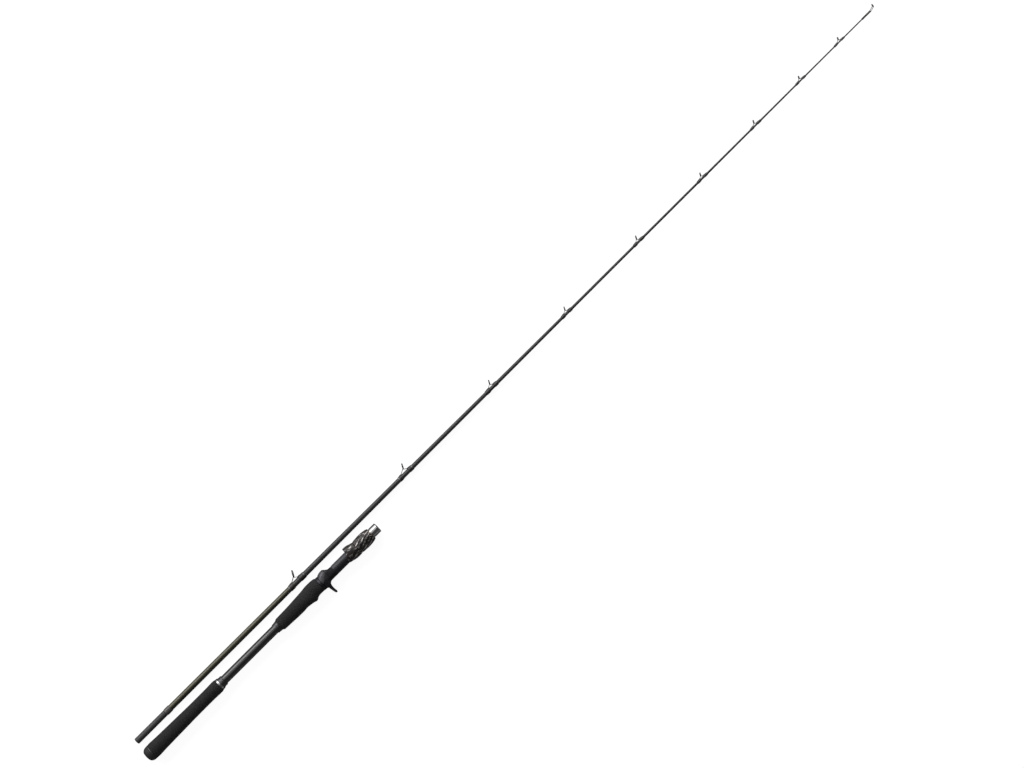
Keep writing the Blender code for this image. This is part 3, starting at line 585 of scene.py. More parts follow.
def resin_look(name, line, colour, panel, start):
    """The seat's moulding: bluish charcoal, with a lighter painted highlight on the rear hood over
    a slanting line of painted shade along its groove, painted shade over the pocket and a painted
    highlight strip along the bed.
    """
    look = Look(name, Coat_Roughness=0.3, Specular_IOR_Level=0.3)
    x, up, angle = look.about(line)

    def run(low, high):
        return x.between(start + low * MM, start + high * MM)

    slant = up - (x - start) * SLANT_SLOPE - SLANT_RISE
    # Painted highlight: a lighter, shinier stretch of the rear hood's upper face above the slanting
    # line.
    light = slant.between(-0.2 * MM, 1.2 * MM) * (1 - run(17, 23))
    # Painted shade: a dark band along the groove, just below the slanting line.
    dark = slant.between(-4.2 * MM, -1.5 * MM) * (1 - slant.between(-0.6 * MM, 0.6 * MM))
    dark = dark * (1 - run(26, 34))
    spark = look.noise(look.spot(), 2200.0)
    flow_marks = look.noise(look.join(x * 0.4, up, angle * 0.01), 240.0, 4.0, 0.6)
    base = look.blend(flow_marks.between(0.35, 0.8), shade(colour, 0.8), shade(colour, 1.35))
    base = look.blend(light, base, panel)
    base = look.blend(dark * 0.8, base, shade(colour, 0.3))
    # Painted shade over the open pocket in the seat's mouth.
    neck = run(9, 15) * (1 - run(25, 29))
    base = look.blend(neck * 0.7, base, shade(colour, 0.25))
    # Painted highlight: a lighter strip on the barrel's flank along the bed.
    flat = run(26, 28) * up.between(2.4 * MM, 3.8 * MM) * (1 - run(57, 58))
    base = look.blend(flat * 0.9, base, shade(panel, 1.1))
    look.set(Metallic=light * 0.45, Coat_Weight=light * 0.3)
    rough = 0.42 + spark * 0.12 - light * 0.1 + flow_marks * 0.06 + neck * 0.25
    return look.done(base, rough, spark, 0.02 * MM)


def bed_look(name, colour):
    """The bed under the reel's foot: satin grey resin, scuffed along its length."""
    look = Look(name, Metallic=0.35)
    x, y, z = look.split(look.spot())
    scuff = look.noise(look.join(x * 0.15, y, z), 900.0, 3.0, 0.6)
    spark = look.noise(look.spot(), 2200.0)
    base = look.blend(scuff.between(0.4, 0.75), colour, shade(colour, 1.7))
    return look.done(base, 0.4 + spark * 0.12 + scuff * 0.1, spark + scuff, 0.02 * MM)


def swirl_look(name, line, colour, silver, ribs, twist, share):
    """Forged-fibre shell: brown-black under clear coat, with thin and broken silver strokes that
    wind round it both ways."""
    look = Look(name, Coat_Weight=0.2, Coat_Roughness=0.14, Coat_IOR=1.5, Specular_IOR_Level=0.3)
    x, up, angle = look.about(line)
    cloud = look.noise(look.spot(), 150.0, 3.0, 0.6, 0.8)
    wander = look.noise(look.spot(), 70.0)
    broken = look.noise(look.join(x * 0.4, angle * 0.004, up), 260.0, 2.0, 0.6)
    forward = (angle + x * twist) * ribs + cloud * 1.8 + wander * 3.5
    back = (angle - x * (twist * 1.6)) * (ribs * 0.7) + cloud * 1.6 - wander * 4.5
    strokes = forward.wave().between(1 - share, 1.0) * broken.between(0.45, 0.62)
    cross = back.wave().between(1 - share * 0.6, 1.0) * broken.between(0.5, 0.36)
    both = strokes + cross * 0.8
    mask = both.math("MINIMUM", both, 1.0)
    base = look.blend(cloud.between(0.35, 0.7), shade(colour, 0.5), shade(colour, 1.4))
    base = look.blend(mask, base, silver)
    look.set(Metallic=0.1 + mask * 0.4)
    rough = 0.34 + cloud * 0.15 - mask * 0.05
    return look.done(base, rough, strokes * 0.5 + cross * 0.4, 0.03 * MM)


# ---------------------------------------------------------------- settings
def colour_setting(name, about, value):
    return FloatVectorProperty(
        name=name, description=about, default=value, subtype="COLOR", min=0, max=1
    )


def length_setting(name, about, value):
    return FloatProperty(
        name=name, description=about, default=value, min=0, unit="LENGTH", precision=5
    )


class RodColours(bpy.types.PropertyGroup):
    foam: colour_setting("Foam", "Foam of both grips", (0.0142, 0.0142, 0.0155))
    rubber: colour_setting("Rubber", "Butt cap and plugs", (0.016, 0.016, 0.017))
    tube: colour_setting("Tube", "Carbon tube between the grips", (0.012, 0.012, 0.013))
    resin: colour_setting("Seat", "Moulding of the reel seat", (0.012, 0.0125, 0.0165))
    # Colour of the painted highlight on the reel seat.
    panel: colour_setting("Seat panel", "Lighter panel of the reel seat", (0.06, 0.06, 0.068))
    bed: colour_setting("Seat bed", "Bed under the reel's foot", (0.1, 0.1, 0.106))
    shell: colour_setting("Shell", "Sliding hood and lock nut", (0.017, 0.012, 0.012))
    stroke: colour_setting("Stroke", "Silver strokes in the shell", (0.42, 0.4, 0.385))
    bright: colour_setting("Bright metal", "Collar and bright rims", (0.52, 0.515, 0.52))
    satin: colour_setting("Satin metal", "Winding rings", (0.1, 0.1, 0.105))
    trim: colour_setting("Trim", "Ring behind the reel seat", (0.05, 0.05, 0.058))
    smoked: colour_setting("Smoked metal", "Frames of the guides", (0.075, 0.073, 0.07))
    ceramic: colour_setting("Ceramic", "Rings of the guides", (0.05, 0.054, 0.06))
    thread: colour_setting("Thread", "Wraps over the guides' feet", (0.012, 0.009, 0.008))
    binding: colour_setting("Binding", "Wrap where the ferrule ends", (0.06, 0.054, 0.05))
    ferrule: colour_setting("Ferrule", "Ground butt of the blank", (0.045, 0.045, 0.045))
    olive: colour_setting("Lower blank", "Blank below the first guide", (0.07, 0.066, 0.042))
    upper: colour_setting("Upper blank", "Blank above the first guide", (0.027, 0.027, 0.028))
    end: colour_setting("Tip", "Blank near the tip", (0.024, 0.024, 0.025))
    brass: colour_setting("Brass", "Socket of the ferrule", (0.62, 0.46, 0.22))


class RodDetails(bpy.types.PropertyGroup):
    pore: length_setting("Pore", "Size of a pore of the foam", 0.45 * MM)
    tape: length_setting("Tape", "Pitch of the winding on the blank", 2.4 * MM)
    strand: length_setting("Strand", "Width of one turn of the whipping", 0.22 * MM)
    rim: length_setting("Rim", "Rounding of the metal rims", 0.22 * MM)
    grain: length_setting("Grain", "Fineness of the moulded skins", 0.3 * MM)
    ribs: IntProperty(name="Ribs", description="Twisted ribs on the nut", default=14, min=3)
    rib_depth: length_setting("Rib depth", "Depth of the grooves between the ribs", 0.4 * MM)
    twist: FloatProperty(
        name="Twist", description="Turn of the ribs, in radians a metre", default=32.0
    )
    coat: length_setting("Coat", "Thickness of thread and resin on a wrap", 0.55 * MM)


class StageSettings(bpy.types.PropertyGroup):
    floor: colour_setting("Floor", "Colour of the floor", (0.16, 0.16, 0.16))
    glow: FloatProperty(name="Glow", description="Light of the floor itself", default=0.94, min=0)
    key: FloatProperty(name="Key", description="Brightness of the side light", default=4.0)
    top: FloatProperty(name="Top", description="Brightness of the upper light", default=0.9)
    side: FloatProperty(name="Side", description="Brightness of the low light", default=0.6)
    rim: FloatProperty(name="Rim", description="Brightness of the far light", default=0.32)
    sky: FloatProperty(name="Sky", description="Strength of the surroundings", default=0.08)
    lens: FloatProperty(name="Lens", description="Focal length in mm", default=100.0, min=1)
    width: length_setting("Width", "Width of the view at the floor", 1.5944)
    turn: FloatProperty(
        name="Turn",
        description="Turn of the camera about the vertical",
        default=math.radians(-44.88),
        subtype="ANGLE",
    )


# ---------------------------------------------------------------- handle
class ROD_OT_butt(bpy.types.Operator):
    """Model the rounded butt cap and the bright ring in front of it"""

    bl_idname = "rod.butt"
    bl_label = "Butt"

    def execute(self, context):
        colours = context.scene.rod_colours
        start, end = ends("butt_cap")
        # Place from the cap's flat end, and how far the dome is under its full radius
        rows = [(0, 4.4), (0.6, 3.6), (2, 2.2), (3.6, 1.1), (5, 0.55), (6.7, 0.2), (8.3, 0.05)]
        rows.append((10.4, 0))
        radius = across("butt_cap")
        front = ends("butt_ring")[0] - 0.1 * MM
        dome = [
            (start + x * MM, radius - flow(rows, x)[0] * MM)
            for x in (0.2 * step for step in range(50, -1, -1))
        ]
        stem = TUBE - 1.3 * MM
        outline = [(end, 0), (end, stem), (front, stem), (front, radius), *dome, (start, 0)]
        cap = soften(spun(outline, HANDLE_LINE), 0.5 * MM)
        rubber = rubber_look("butt_rubber", colours.rubber[:])
        put("butt_cap_skin", cap, rubber, "handle", "black_rubber", "butt_cap")
        metal = turned_look("butt_ring_metal", HANDLE_LINE, colours.satin[:], 0.5, 0.12 * MM)
        radius = across("butt_ring") - 0.02 * MM
        ring = tube("butt_ring", HANDLE_LINE, TUBE + 0.1 * MM, radius, 0.35 * MM)
        put("butt_trim", ring, metal, "handle", "satin_alloy", "butt_ring")
        return {"FINISHED"}


class ROD_OT_rear_grip(bpy.types.Operator):
    """Model the rear grip of turned foam"""

    bl_idname = "rod.rear_grip"
    bl_label = "Rear Grip"

    def execute(self, context):
        start, end = ends("rear_grip")
        length = end - start
        # Share of the grip from its rear end, and radius there in millimetres
        rows = [(0, 12.3), (0.008, 12.55), (0.03, 12.7), (0.06, 12.5), (0.10, 12.2), (0.13, 12.05)]
        rows += [(0.22, 11.75), (0.30, 11.5), (0.39, 11.25), (0.47, 11.02), (0.56, 10.8)]
        rows += [(0.64, 10.64), (0.80, 10.6), (0.90, 10.78), (0.955, 11.08), (0.975, 11.0)]
        rows += [(0.99, 10.6), (1, 10.1)]
        shares = [step / 180 for step in range(180, -1, -1)]
        skin = [(start + share * length, flow(rows, share)[0] * MM) for share in shares]
        shape = spun([*skin, (start, GRIP_BORE), (end, GRIP_BORE)], HANDLE_LINE)
        look = foam_material(context)
        shape = soften(shape, 0.3 * MM)
        grip = put("rear_grip_foam", shape, look, "handle", "grip_foam", "rear_grip")
        return {"FINISHED"}


class ROD_OT_main_grip(bpy.types.Operator):
    """Model the main grip: foam that swells under the palm, with a hooked lip under its front"""

    bl_idname = "rod.main_grip"
    bl_label = "Main Grip"

    def execute(self, context):
        start, end = ends("main_grip")
        # Place along the grip, and its reach up, down and to the sides, in millimetres
        rows = [(0, 9.4, 9.4, 9.1), (0.7, 10.3, 10.5, 10.1), (2.4, 10.6, 10.9, 10.4)]
        rows += [(16, 11.0, 11.5, 10.9), (30, 11.4, 12.1, 11.2), (41, 12.1, 12.3, 11.5)]
        rows += [(50, 12.6, 11.7, 11.6), (58, 13.2, 12.6, 11.7), (64, 13.8, 13.7, 11.7)]
        rows += [(67.5, 14.2, 14.9, 11.6), (70, 14.4, 14.3, 11.5), (73, 14.4, 12.5, 11.4)]
        rows += [(76, 14.4, 11.5, 11.4), (81, 14.2, 11.2, 11.4), (86, 13.6, 11.3, 11.5)]
        rows += [(87.8, 13.1, 11.5, 11.6), (88.7, 12.6, 11.6, 11.6)]
        stretch = (end - start) / rows[-1][0]
        steps = 150
        outline = [(start + (end - start) * step / steps, 10 * MM) for step in range(steps, -1, -1)]
        outline += [(start, GRIP_BORE), (end, GRIP_BORE)]

        def oval(x, radius, angle):
            if radius < GRIP_BORE + 0.1 * MM:
                return plain(radius, angle)
            top, depth, half = flow(rows, (x - start) / stretch)
            up = math.cos(angle)
            return (top if up > 0 else depth) * up * MM, half * math.sin(angle) * MM

        shape = soften(swell(spun(outline, HANDLE_LINE), HANDLE_LINE, oval), 0.25 * MM)
        look = foam_material(context)
        grip = put("main_grip_foam", shape, look, "handle", "grip_foam", "main_grip")
        return {"FINISHED"}


def foam_material(context):
    """The finish that both grips share."""
    colour, pore = context.scene.rod_colours.foam[:], context.scene.rod_details.pore
    return shared("grip_foam_skin", foam_look, colour, pore)


class ROD_OT_rings(bpy.types.Operator):
    """Model the winding rings at the grips' ends and the trim ring behind the seat"""

    bl_idname = "rod.rings"
    bl_label = "Winding Rings"

    def execute(self, context):
        colours = context.scene.rod_colours
        rim = context.scene.rod_details.rim
        satin = turned_look("ring_metal", HANDLE_LINE, colours.satin[:], 0.4, 0.14 * MM)
        bright = turned_look("ring_rim_metal", HANDLE_LINE, colours.bright[:], 0.2, 0.1 * MM)
        bore = TUBE + 0.04 * MM
        thin = BORE + 0.6 * MM

        start, end = ends("rear_grip_check")
        wide, step = across("rear_grip_check"), start + 3.4 * MM
        outline = stepped(end, thin, [(0, -0.1), (-0.5, 0.2), (-1.0, 0.5), (-2.6, 0.5)])
        outline += stepped(end, thin, [(-3.0, 0.25)])
        outline += [(step, thin + 1.0 * MM), (step, bore), (end, bore)]
        cone = soften(spun(outline, HANDLE_LINE), rim)
        put("rear_check_cone", cone, satin, "handle", "satin_alloy", "rear_grip_check")
        outline = stepped(start, wide, [(3.3, -0.3), (2.9, 0), (0, 0)])
        outline += [(start, bore), (start + 3.3 * MM, bore)]
        collar = soften(spun(outline, HANDLE_LINE), rim)
        put("rear_check_collar", collar, bright, "handle", "satin_alloy")

        start, end = ends("main_grip_check")
        wide = across("main_grip_check")
        outline = stepped(end, wide, [(0, 0), (-0.8, 0), (-1.2, -0.35)])
        outline += stepped(end, thin, [(-3.4, 0.45), (-3.6, 0.7), (-4.4, 0.65), (-4.6, 0.3)])
        outline += stepped(start, thin, [(0.3, 0), (0, -0.2)]) + [(start, bore), (end, bore)]
        flare = soften(spun(outline, HANDLE_LINE), rim * 0.6)
        put("main_check_flare", flare, satin, "handle", "satin_alloy", "main_grip_check")

        trim = turned_look("seat_trim_metal", HANDLE_LINE, colours.trim[:], 0.45, 0.2 * MM)
        radius = across("seat_ring")
        start, end = ends("seat_ring")
        outline = stepped(end, radius, [(0, -0.5), (-0.7, 0)])
        outline += stepped(start, radius, [(0.7, 0), (0, -0.4)])
        band = soften(spun([*outline, (start, bore), (end, bore)], HANDLE_LINE), rim)
        put("seat_trim", band, trim, "handle", "satin_alloy", "seat_ring")
        return {"FINISHED"}


class ROD_OT_tube(bpy.types.Operator):
    """Model the carbon tube that runs through the handle"""

    bl_idname = "rod.tube"
    bl_label = "Handle Tube"

    def execute(self, context):
        colour = context.scene.rod_colours.tube[:]
        tape = context.scene.rod_details.tape
        look = gloss_look("tube_carbon_coat", HANDLE_LINE, colour, tape * 2, shade(colour, 2.4))
        shape = tube("handle_tube", HANDLE_LINE, TUBE - 1 * MM, TUBE)
        put("handle_tube_skin", shape, look, "handle", "tube_carbon", "handle_tube")
        return {"FINISHED"}


# Slope and rise of the slanting line on the seat's rear hood: its groove follows the line, with
# painted highlight above it and painted shade below it.
SLANT_SLOPE = 0.63
SLANT_RISE = -3.6 * MM
# Places along the seat from its rear end, in millimetres
POCKET_END, MOUTH, SHOULDER, HEAD_END, BED_END, THREAD_START = 3, 12.9, 26.9, 27.2, 57.6, 76
# Place from the seat's rear end, rise of the top, the bottom and the sides over the barrel, and
# squareness of the upper half, in millimetres
SEAT_ROWS = [(0, 3.6, 4.6, 3.8, 2), (1.2, 4.1, 4.75, 3.85, 2.15), (3.4, 5.1, 4.6, 3.8, 2.5)]
SEAT_ROWS += [(6.4, 5.95, 3.9, 3.55, 2.8), (8.6, 6.15, 2.3, 3.1, 3), (10.9, 6.15, 0.7, 2.6, 3)]
SEAT_ROWS += [(12.9, 6.0, 0.1, 2.2, 3), (15.4, 4.2, 0, 1.5, 2.8), (18.4, 2.4, 0, 0.9, 2.5)]
SEAT_ROWS += [(21.4, 1, 0, 0.4, 2.2), (25.4, 0, 0, 0, 2), (30, 0, 0, 0, 2)]


def squared(rises, angle):
    """Height and offset of a skin whose upper half is squarer than its lower one."""
    top, depth, half, power = rises
    up, over = math.cos(angle), math.sin(angle)
    if up <= 0:
        return (BARREL + depth * MM) * up, (BARREL + half * MM) * over
    height = (BARREL + top * MM) * up ** (2 / power)
    return height, math.copysign((BARREL + half * MM) * abs(over) ** (2 / power), over)


class ROD_OT_reel_seat(bpy.types.Operator):
    """Model the reel seat: rear hood, finger trigger, foot bed and threaded barrel"""

    bl_idname = "rod.reel_seat"
    bl_label = "Reel Seat"

    def execute(self, context):
        colours = context.scene.rod_colours
        start, end = ends("reel_seat")
        bore = BORE - 0.1 * MM

        def skin(x, radius, angle):
            if radius < bore + 0.1 * MM:
                return plain(radius, angle)
            height, offset = squared(flow(SEAT_ROWS, (x - start) / MM), angle)
            if height <= 0:
                return height, offset
            groove = height - (x - start) * SLANT_SLOPE - SLANT_RISE
            cut = 0.35 * math.exp(-((groove / (1.1 * MM)) ** 2))
            fade = clamped((19 * MM - (x - start)) / (5 * MM))
            inward = 1 - cut * fade / 11
            return height * inward, offset * inward

        neck = start + HEAD_END * MM
        steps = 70
        outline = [(neck - (neck - start) * step / steps, BARREL) for step in range(steps + 1)]
        shape = swell(spun([*outline, (start, bore), (neck, bore)], HANDLE_LINE), HANDLE_LINE, skin)
        look = resin_look("seat_moulding", HANDLE_LINE, colours.resin[:], colours.panel[:], start)
        head = shown("reel_seat_head", shape, look)
        join_up(head, "UNION", [self.trigger(start)])
        blind, mouth, front = (start + place * MM for place in (POCKET_END, MOUTH, SHOULDER))
        channel = [(blind, 0.3), (blind, 3.3), (blind + 3 * MM, 4.9), (mouth, 4.9)]
        channel += [(mouth, 18), (front, 18), (front, 0.3)]
        room = prism([(x, BARREL + up * MM) for x, up in channel], HANDLE_LINE, 5.3 * MM)
        join_up(head, "DIFFERENCE", [soften(room, 0.7 * MM)])
        mould(head, context.scene.rod_details.grain, 4)
        place(head, "handle", "seat_resin", "reel_seat")

        rear = neck - 0.1 * MM
        outline = [(end, BARREL), (rear, BARREL), (rear, bore), (end, bore)]
        put("reel_seat_barrel", spun(outline, HANDLE_LINE), look, "handle", "seat_resin")
        axis, width, top = HANDLE_LINE, 4.5 * MM, HANDLE_LINE.y + BARREL
        low = (front, top - 1.6 * MM, axis.z - width)
        high = (start + BED_END * MM, top + 0.58 * MM, axis.z + width)
        satin = bed_look("bed_moulding", colours.bed[:])
        put("reel_foot_bed", slab(low, high, 0.5 * MM), satin, "handle", "seat_resin")
        self.thread(start, end, look)
        return {"FINISHED"}

    def trigger(self, start):
        """The finger trigger: a tapered tongue that flares into the seat and has a rounded end."""
        # Reach below the handle's line, rear and front edge from the seat's rear, half width
        rows = [(4, 1.4, 14, 5.2), (7, 1.4, 11.4, 5.0), (9.5, 1.4, 9.2, 4.7), (12, 1.45, 7.9, 4.3)]
        rows += [(14.5, 1.6, 7.3, 3.9), (18, 2.1, 7.0, 3.6), (21.5, 2.7, 7.1, 3.5)]
        rows += [(24.4, 3.4, 7.45, 3.4), (25.9, 4.0, 7.4, 2.9), (26.7, 4.6, 7.1, 2.2)]
        rows += [(27.05, 5.3, 6.5, 1.0)]
        places = []
        for step in range(57):
            depth = rows[0][0] + (rows[-1][0] - rows[0][0]) * math.sin(math.pi / 2 * step / 56)
            rear, front, half = flow(rows, depth)
            centre = Vector((start + (rear + front) / 2 * MM, -depth * MM, 0)) + HANDLE_LINE
            size = Matrix.Diagonal(((front - rear) / 2 * MM, half * MM, 1, 1))
            flat = Matrix.Rotation(math.pi / 2, 4, "X")
            places.append(Matrix.Translation(centre) @ flat @ size)
        return lofted(places, 40)

    def thread(self, start, end, look):
        """The barrel's screw thread, which shows when the nut is run forwards or back."""
        pitch, first, root, steps = 3 * MM, start + THREAD_START * MM, BARREL - 0.1 * MM, 48
        turns = int((end - first - 1.6 * MM) / pitch)
        shape = bmesh.new()
        ridge = [(0.8 * MM, root), (0.4 * MM, CREST), (-0.4 * MM, CREST), (-0.8 * MM, root)]
        verts = [
            shape.verts.new((first + 0.8 * MM + x, HANDLE_LINE.y + radius, HANDLE_LINE.z))
            for x, radius in ridge
        ]
        edges = [shape.edges.new(pair) for pair in zip(verts, verts[1:] + verts[:1])]
        bmesh.ops.spin(
            shape,
            geom=verts + edges,
            cent=HANDLE_LINE,
            axis=(1, 0, 0),
            dvec=(pitch / steps, 0, 0),
            angle=TURN * turns,
            steps=steps * turns,
            use_merge=False,
            use_duplicate=False,
        )
        bmesh.ops.holes_fill(shape, edges=shape.edges, sides=0)
        bmesh.ops.recalc_face_normals(shape, faces=shape.faces)
        put("seat_thread", shape, look, "handle", "seat_resin")


class ROD_OT_front_hood(bpy.types.Operator):
    """Model the sliding front hood with its pocket for the reel's foot"""

    bl_idname = "rod.front_hood"
    bl_label = "Front Hood"

    def execute(self, context):
        colours = context.scene.rod_colours
        start, neck_end = ends("front_hood")
        end = ends("lock_nut")[0] - 0.3 * MM
        rows = [(0, 1.3, 0.9, 0.9, 2), (5, 6.5, 1.9, 2.4, 2.8), (9.5, 6.4, 3, 3, 2.8)]
        rows += [(14, 5.7, 3.7, 3.4, 2.5), (18.5, 4.3, 3.8, 3.3, 2.2), (23.3, 3.2, 3.6, 3.2, 2)]
        bore = BARREL + 0.3 * MM
        wide = CREST + 0.3 * MM

        def skin(x, radius, angle):
            if radius < NECK + 0.2 * MM or x > end:
                return plain(radius, angle)
            return squared(flow(rows, (x - start) / MM), angle)

        pace = 0.5 * MM
        xs = [start + pace * step for step in range(int((end - start) / pace))]
        over = NECK + 0.7 * MM
        outline = [(neck_end, NECK), (end + 0.2 * MM, NECK), (end, over)]
        outline += [(x, over) for x in reversed(xs)]
        ledge = start + 10.5 * MM
        outline += [(start, bore), (ledge, bore), (ledge, wide), (neck_end, wide)]
        shape = swell(spun(outline, HANDLE_LINE), HANDLE_LINE, skin)
        look = swirl_look(
            "hood_shell_fibre", HANDLE_LINE, colours.shell[:], colours.stroke[:], 9, 30.0, 0.3
        )
        hood = shown("front_hood_shell", shape, look)
        back, mouth = start - 1 * MM, start + 5 * MM
        roof = BARREL + 4.9 * MM
        outline = [(back, 0), (back, roof), (mouth, roof), (mouth + 10 * MM, roof - 0.6 * MM)]
        outline.append((mouth + 10 * MM, 0))
        pocket = soften(prism(outline, HANDLE_LINE, 5.3 * MM), 0.7 * MM)
        wedge = [(back, -4), (mouth - 1.5 * MM, 2.2), (mouth, 5.5), (mouth, 26), (back, 26)]
        face = prism([(x, up * MM) for x, up in wedge], HANDLE_LINE, 26 * MM)
        join_up(hood, "DIFFERENCE", [pocket, face])
        mould(hood, context.scene.rod_details.grain, 3)
        place(hood, "front_hood", "hood_shell", "front_hood")
        return {"FINISHED"}


class ROD_OT_lock_nut(bpy.types.Operator):
    """Model the lock nut with its twisted ribs, inner thread and plain rims"""

    bl_idname = "rod.lock_nut"
    bl_label = "Lock Nut"

    def execute(self, context):
        colours = context.scene.rod_colours
        details = context.scene.rod_details
        start, end = ends("lock_nut")
        length = end - start
        # Share of the nut from its rear end, and how far it is under its full radius
        rows = [(0, 1.35), (0.02, 1.05), (0.10, 0.7), (0.26, 0.22), (0.46, 0), (0.66, 0.12)]
        rows += [(0.85, 1.1), (0.955, 2.0), (0.985, 2.35), (1, 2.6)]
        full = across("lock_nut")
        steps = 140
        skin = [
            (start + length * step / steps, full - flow(rows, step / steps)[0] * MM)
            for step in range(steps, -1, -1)
        ]
        neck, lip, thread = NECK + 0.3 * MM, NECK + 0.8 * MM, CREST + 0.1 * MM
        relief = CREST + 0.6 * MM
        ledges = [(0, neck), (5.2, neck), (5.2, lip), (6.7, lip), (6.7, thread), (19.3, thread)]
        inside = [(start + x * MM, radius) for x, radius in [*ledges, (19.3, relief)]]
        inside.append((end, relief))

        def ribbed(x, radius, angle):
            share = (x - start) / length
            if radius > full - flow(rows, share)[0] * MM - 0.05 * MM:
                held = eased(clamped((share - 0.07) / 0.1) * clamped((0.93 - share) / 0.1))
                wave = 0.5 - 0.5 * math.cos(details.ribs * (angle + (x - start) * details.twist))
                radius -= details.rib_depth * held * wave**1.6
            return plain(radius, angle)

        shape = spun([*skin, *inside], HANDLE_LINE, 180)
        ribs, twist = details.ribs, details.twist
        look = swirl_look(
            "nut_shell_fibre", HANDLE_LINE, colours.shell[:], colours.stroke[:], ribs, twist, 0.4
        )
        nut = swell(shape, HANDLE_LINE, ribbed)
        put("lock_nut_shell", nut, look, "lock_nut", "nut_shell", "lock_nut", smooth=50)
        return {"FINISHED"}


class ROD_OT_collar(bpy.types.Operator):
    """Model the polished collar on the handle's front end, its socket and the stop inside"""

    bl_idname = "rod.collar"
    bl_label = "Collar"

    def execute(self, context):
        colours = context.scene.rod_colours
        line = HANDLE_LINE
        start, end = ends("front_collar")
        radius, bore = across("front_collar"), TUBE + 0.1 * MM
        socket = BLANK + 0.3 * MM
        outline = stepped(end, radius, [(0, -0.9), (-0.7, 0), (-2.2, 0), (-2.4, -0.3)])
        outline += stepped(end, radius, [(-2.9, -0.3), (-3.1, -0.05)])
        outline += stepped(start, radius, [(1.6, -0.05), (1.4, -0.3), (0, -0.3)])
        outline += [(start, bore), (end - 0.8 * MM, bore), (end - 0.8 * MM, socket), (end, socket)]
        polished = turned_look("collar_polish", line, colours.bright[:], 0.2, 0.08 * MM)
        collar = soften(spun(outline, line), 0.12 * MM)
        put("front_collar_ring", collar, polished, "handle", "polished_steel", "front_collar")
        brass = turned_look("socket_brass", line, colours.brass[:], 0.3, 0.1 * MM)
        shape = tube("ferrule_socket", line, socket, TUBE)
        put("socket_tube", shape, brass, "handle", "ferrule_brass", "ferrule_socket")
        rubber = rubber_look("stop_rubber", colours.rubber[:])
        rear, front = ends("socket_stop")
        size = across("socket_stop")
        plug = soften(spun([(front, 0), (front, size), (rear, size), (rear, 0)], line), 0.4 * MM)
        put("socket_plug", plug, rubber, "handle", "black_rubber", "socket_stop")
        return {"FINISHED"}


# ---------------------------------------------------------------- tip section
class ROD_OT_blank(bpy.types.Operator):
    """Model the hollow tapered blank with its butt plug and the wrap above the ferrule"""

    bl_idname = "rod.blank"
    bl_label = "Blank"

    def execute(self, context):
        colours = context.scene.rod_colours
        details = context.scene.rod_details
        line = TIP_LINE
        start, end = ends("blank")
        steps = 260
        xs = [start + (end - start) * step / steps for step in range(steps, -1, -1)]
        outline = [(x, blank_radius(x)) for x in xs]
        outline += [(start, blank_radius(start) - 0.9 * MM), (end, 0.4 * MM)]
        tones = [tone[:] for tone in (colours.ferrule, colours.olive, colours.upper, colours.end)]
        # Where each zone gives way to the next, in metres from the butt
        stops = [(0.066, 0.074), (0.338, 0.352), (0.8, 1.3)]
        look = blank_look("blank_coat", line, TIP_BUTT_X, tones, stops, details.tape)
        put("blank_skin", spun(outline, line, 48), look, "tip_section", "blank_carbon", "blank")

        rear, front = ends("butt_plug")
        head = across("butt_plug")
        stem = blank_radius(start) - 1.1 * MM
        plug = [(front, 0), (front, stem - 0.4 * MM), (front - 0.8 * MM, stem)]
        plug += [(start - 0.1 * MM, stem), (start - 0.1 * MM, head)]
        plug += [(rear + 0.7 * MM, head), (rear, head - 1.1 * MM), (rear, 0)]
        rubber = rubber_look("plug_rubber", colours.rubber[:])
        plug = soften(spun(plug, line, 64), 0.2 * MM)
        put("butt_plug_skin", plug, rubber, "tip_section", "black_rubber", "butt_plug")

        look = thread_look("ferrule_resin", line, colours.binding[:], details.strand)
        shape = wrap_shape(*ends("ferrule_wrap"), details.coat)
        put("ferrule_wrap_coat", shape, look, "tip_section", "ferrule_coat", "ferrule_wrap")
        return {"FINISHED"}


def wrap_shape(start, end, coat, foot=None):
    """Thread and resin round the blank, thin at its ends. foot is (half width, height, rear side)
    of a guide's foot that it swells over, or None."""
    steps = 40
    length = end - start
    skin = []
    for step in range(steps, -1, -1):
        share = step / steps
        near = min(share, 1 - share) * length
        rise = 1 - max(0, 1 - near / (1.6 * MM)) ** 2.4
        x = start + length * share
        skin.append((x, blank_radius(x) + 0.06 * MM + coat * rise))
    inside = [(start, blank_radius(start) + 0.01 * MM), (end, blank_radius(end) + 0.01 * MM)]
    shape = spun(skin + inside, TIP_LINE, 56)
    if foot is None:
        return shape
    half, height, rearward = foot

    def over_foot(x, radius, angle):
        share = (x - start) / length
        share = share if rearward else 1 - share
        rise = eased(share * 1.25 - 0.1)
        if radius < blank_radius(x) + 0.03 * MM:
            rise = 0
        width = 1.35 * half / radius
        radius += height * rise * math.exp(-((angle / width) ** 4))
        return plain(radius, angle)

    return swell(shape, TIP_LINE, over_foot)


def ring_shape(centre, lean, outline):
    """A turned ring in a guide's place: its own axis leans forwards and down."""
    shape = spun(outline, Vector((0, 0, 0)), RING)
    turn = Matrix.Translation(centre) @ Matrix.Rotation(-lean, 4, "Z")
    bmesh.ops.transform(shape, matrix=turn, verts=shape.verts)
    return shape


def band_outline(inner, outer, half):
    """Cross-section of a guide's band: flat inside, crowned outside, with rolled rims."""
    crown = []
    for step in range(13):
        angle = math.pi * step / 12
        bulge = (outer - inner) * (0.55 + 0.45 * math.sin(angle))
        crown.append((half * math.cos(angle), inner + bulge))
    return crown + [(-half, inner), (half, inner)]


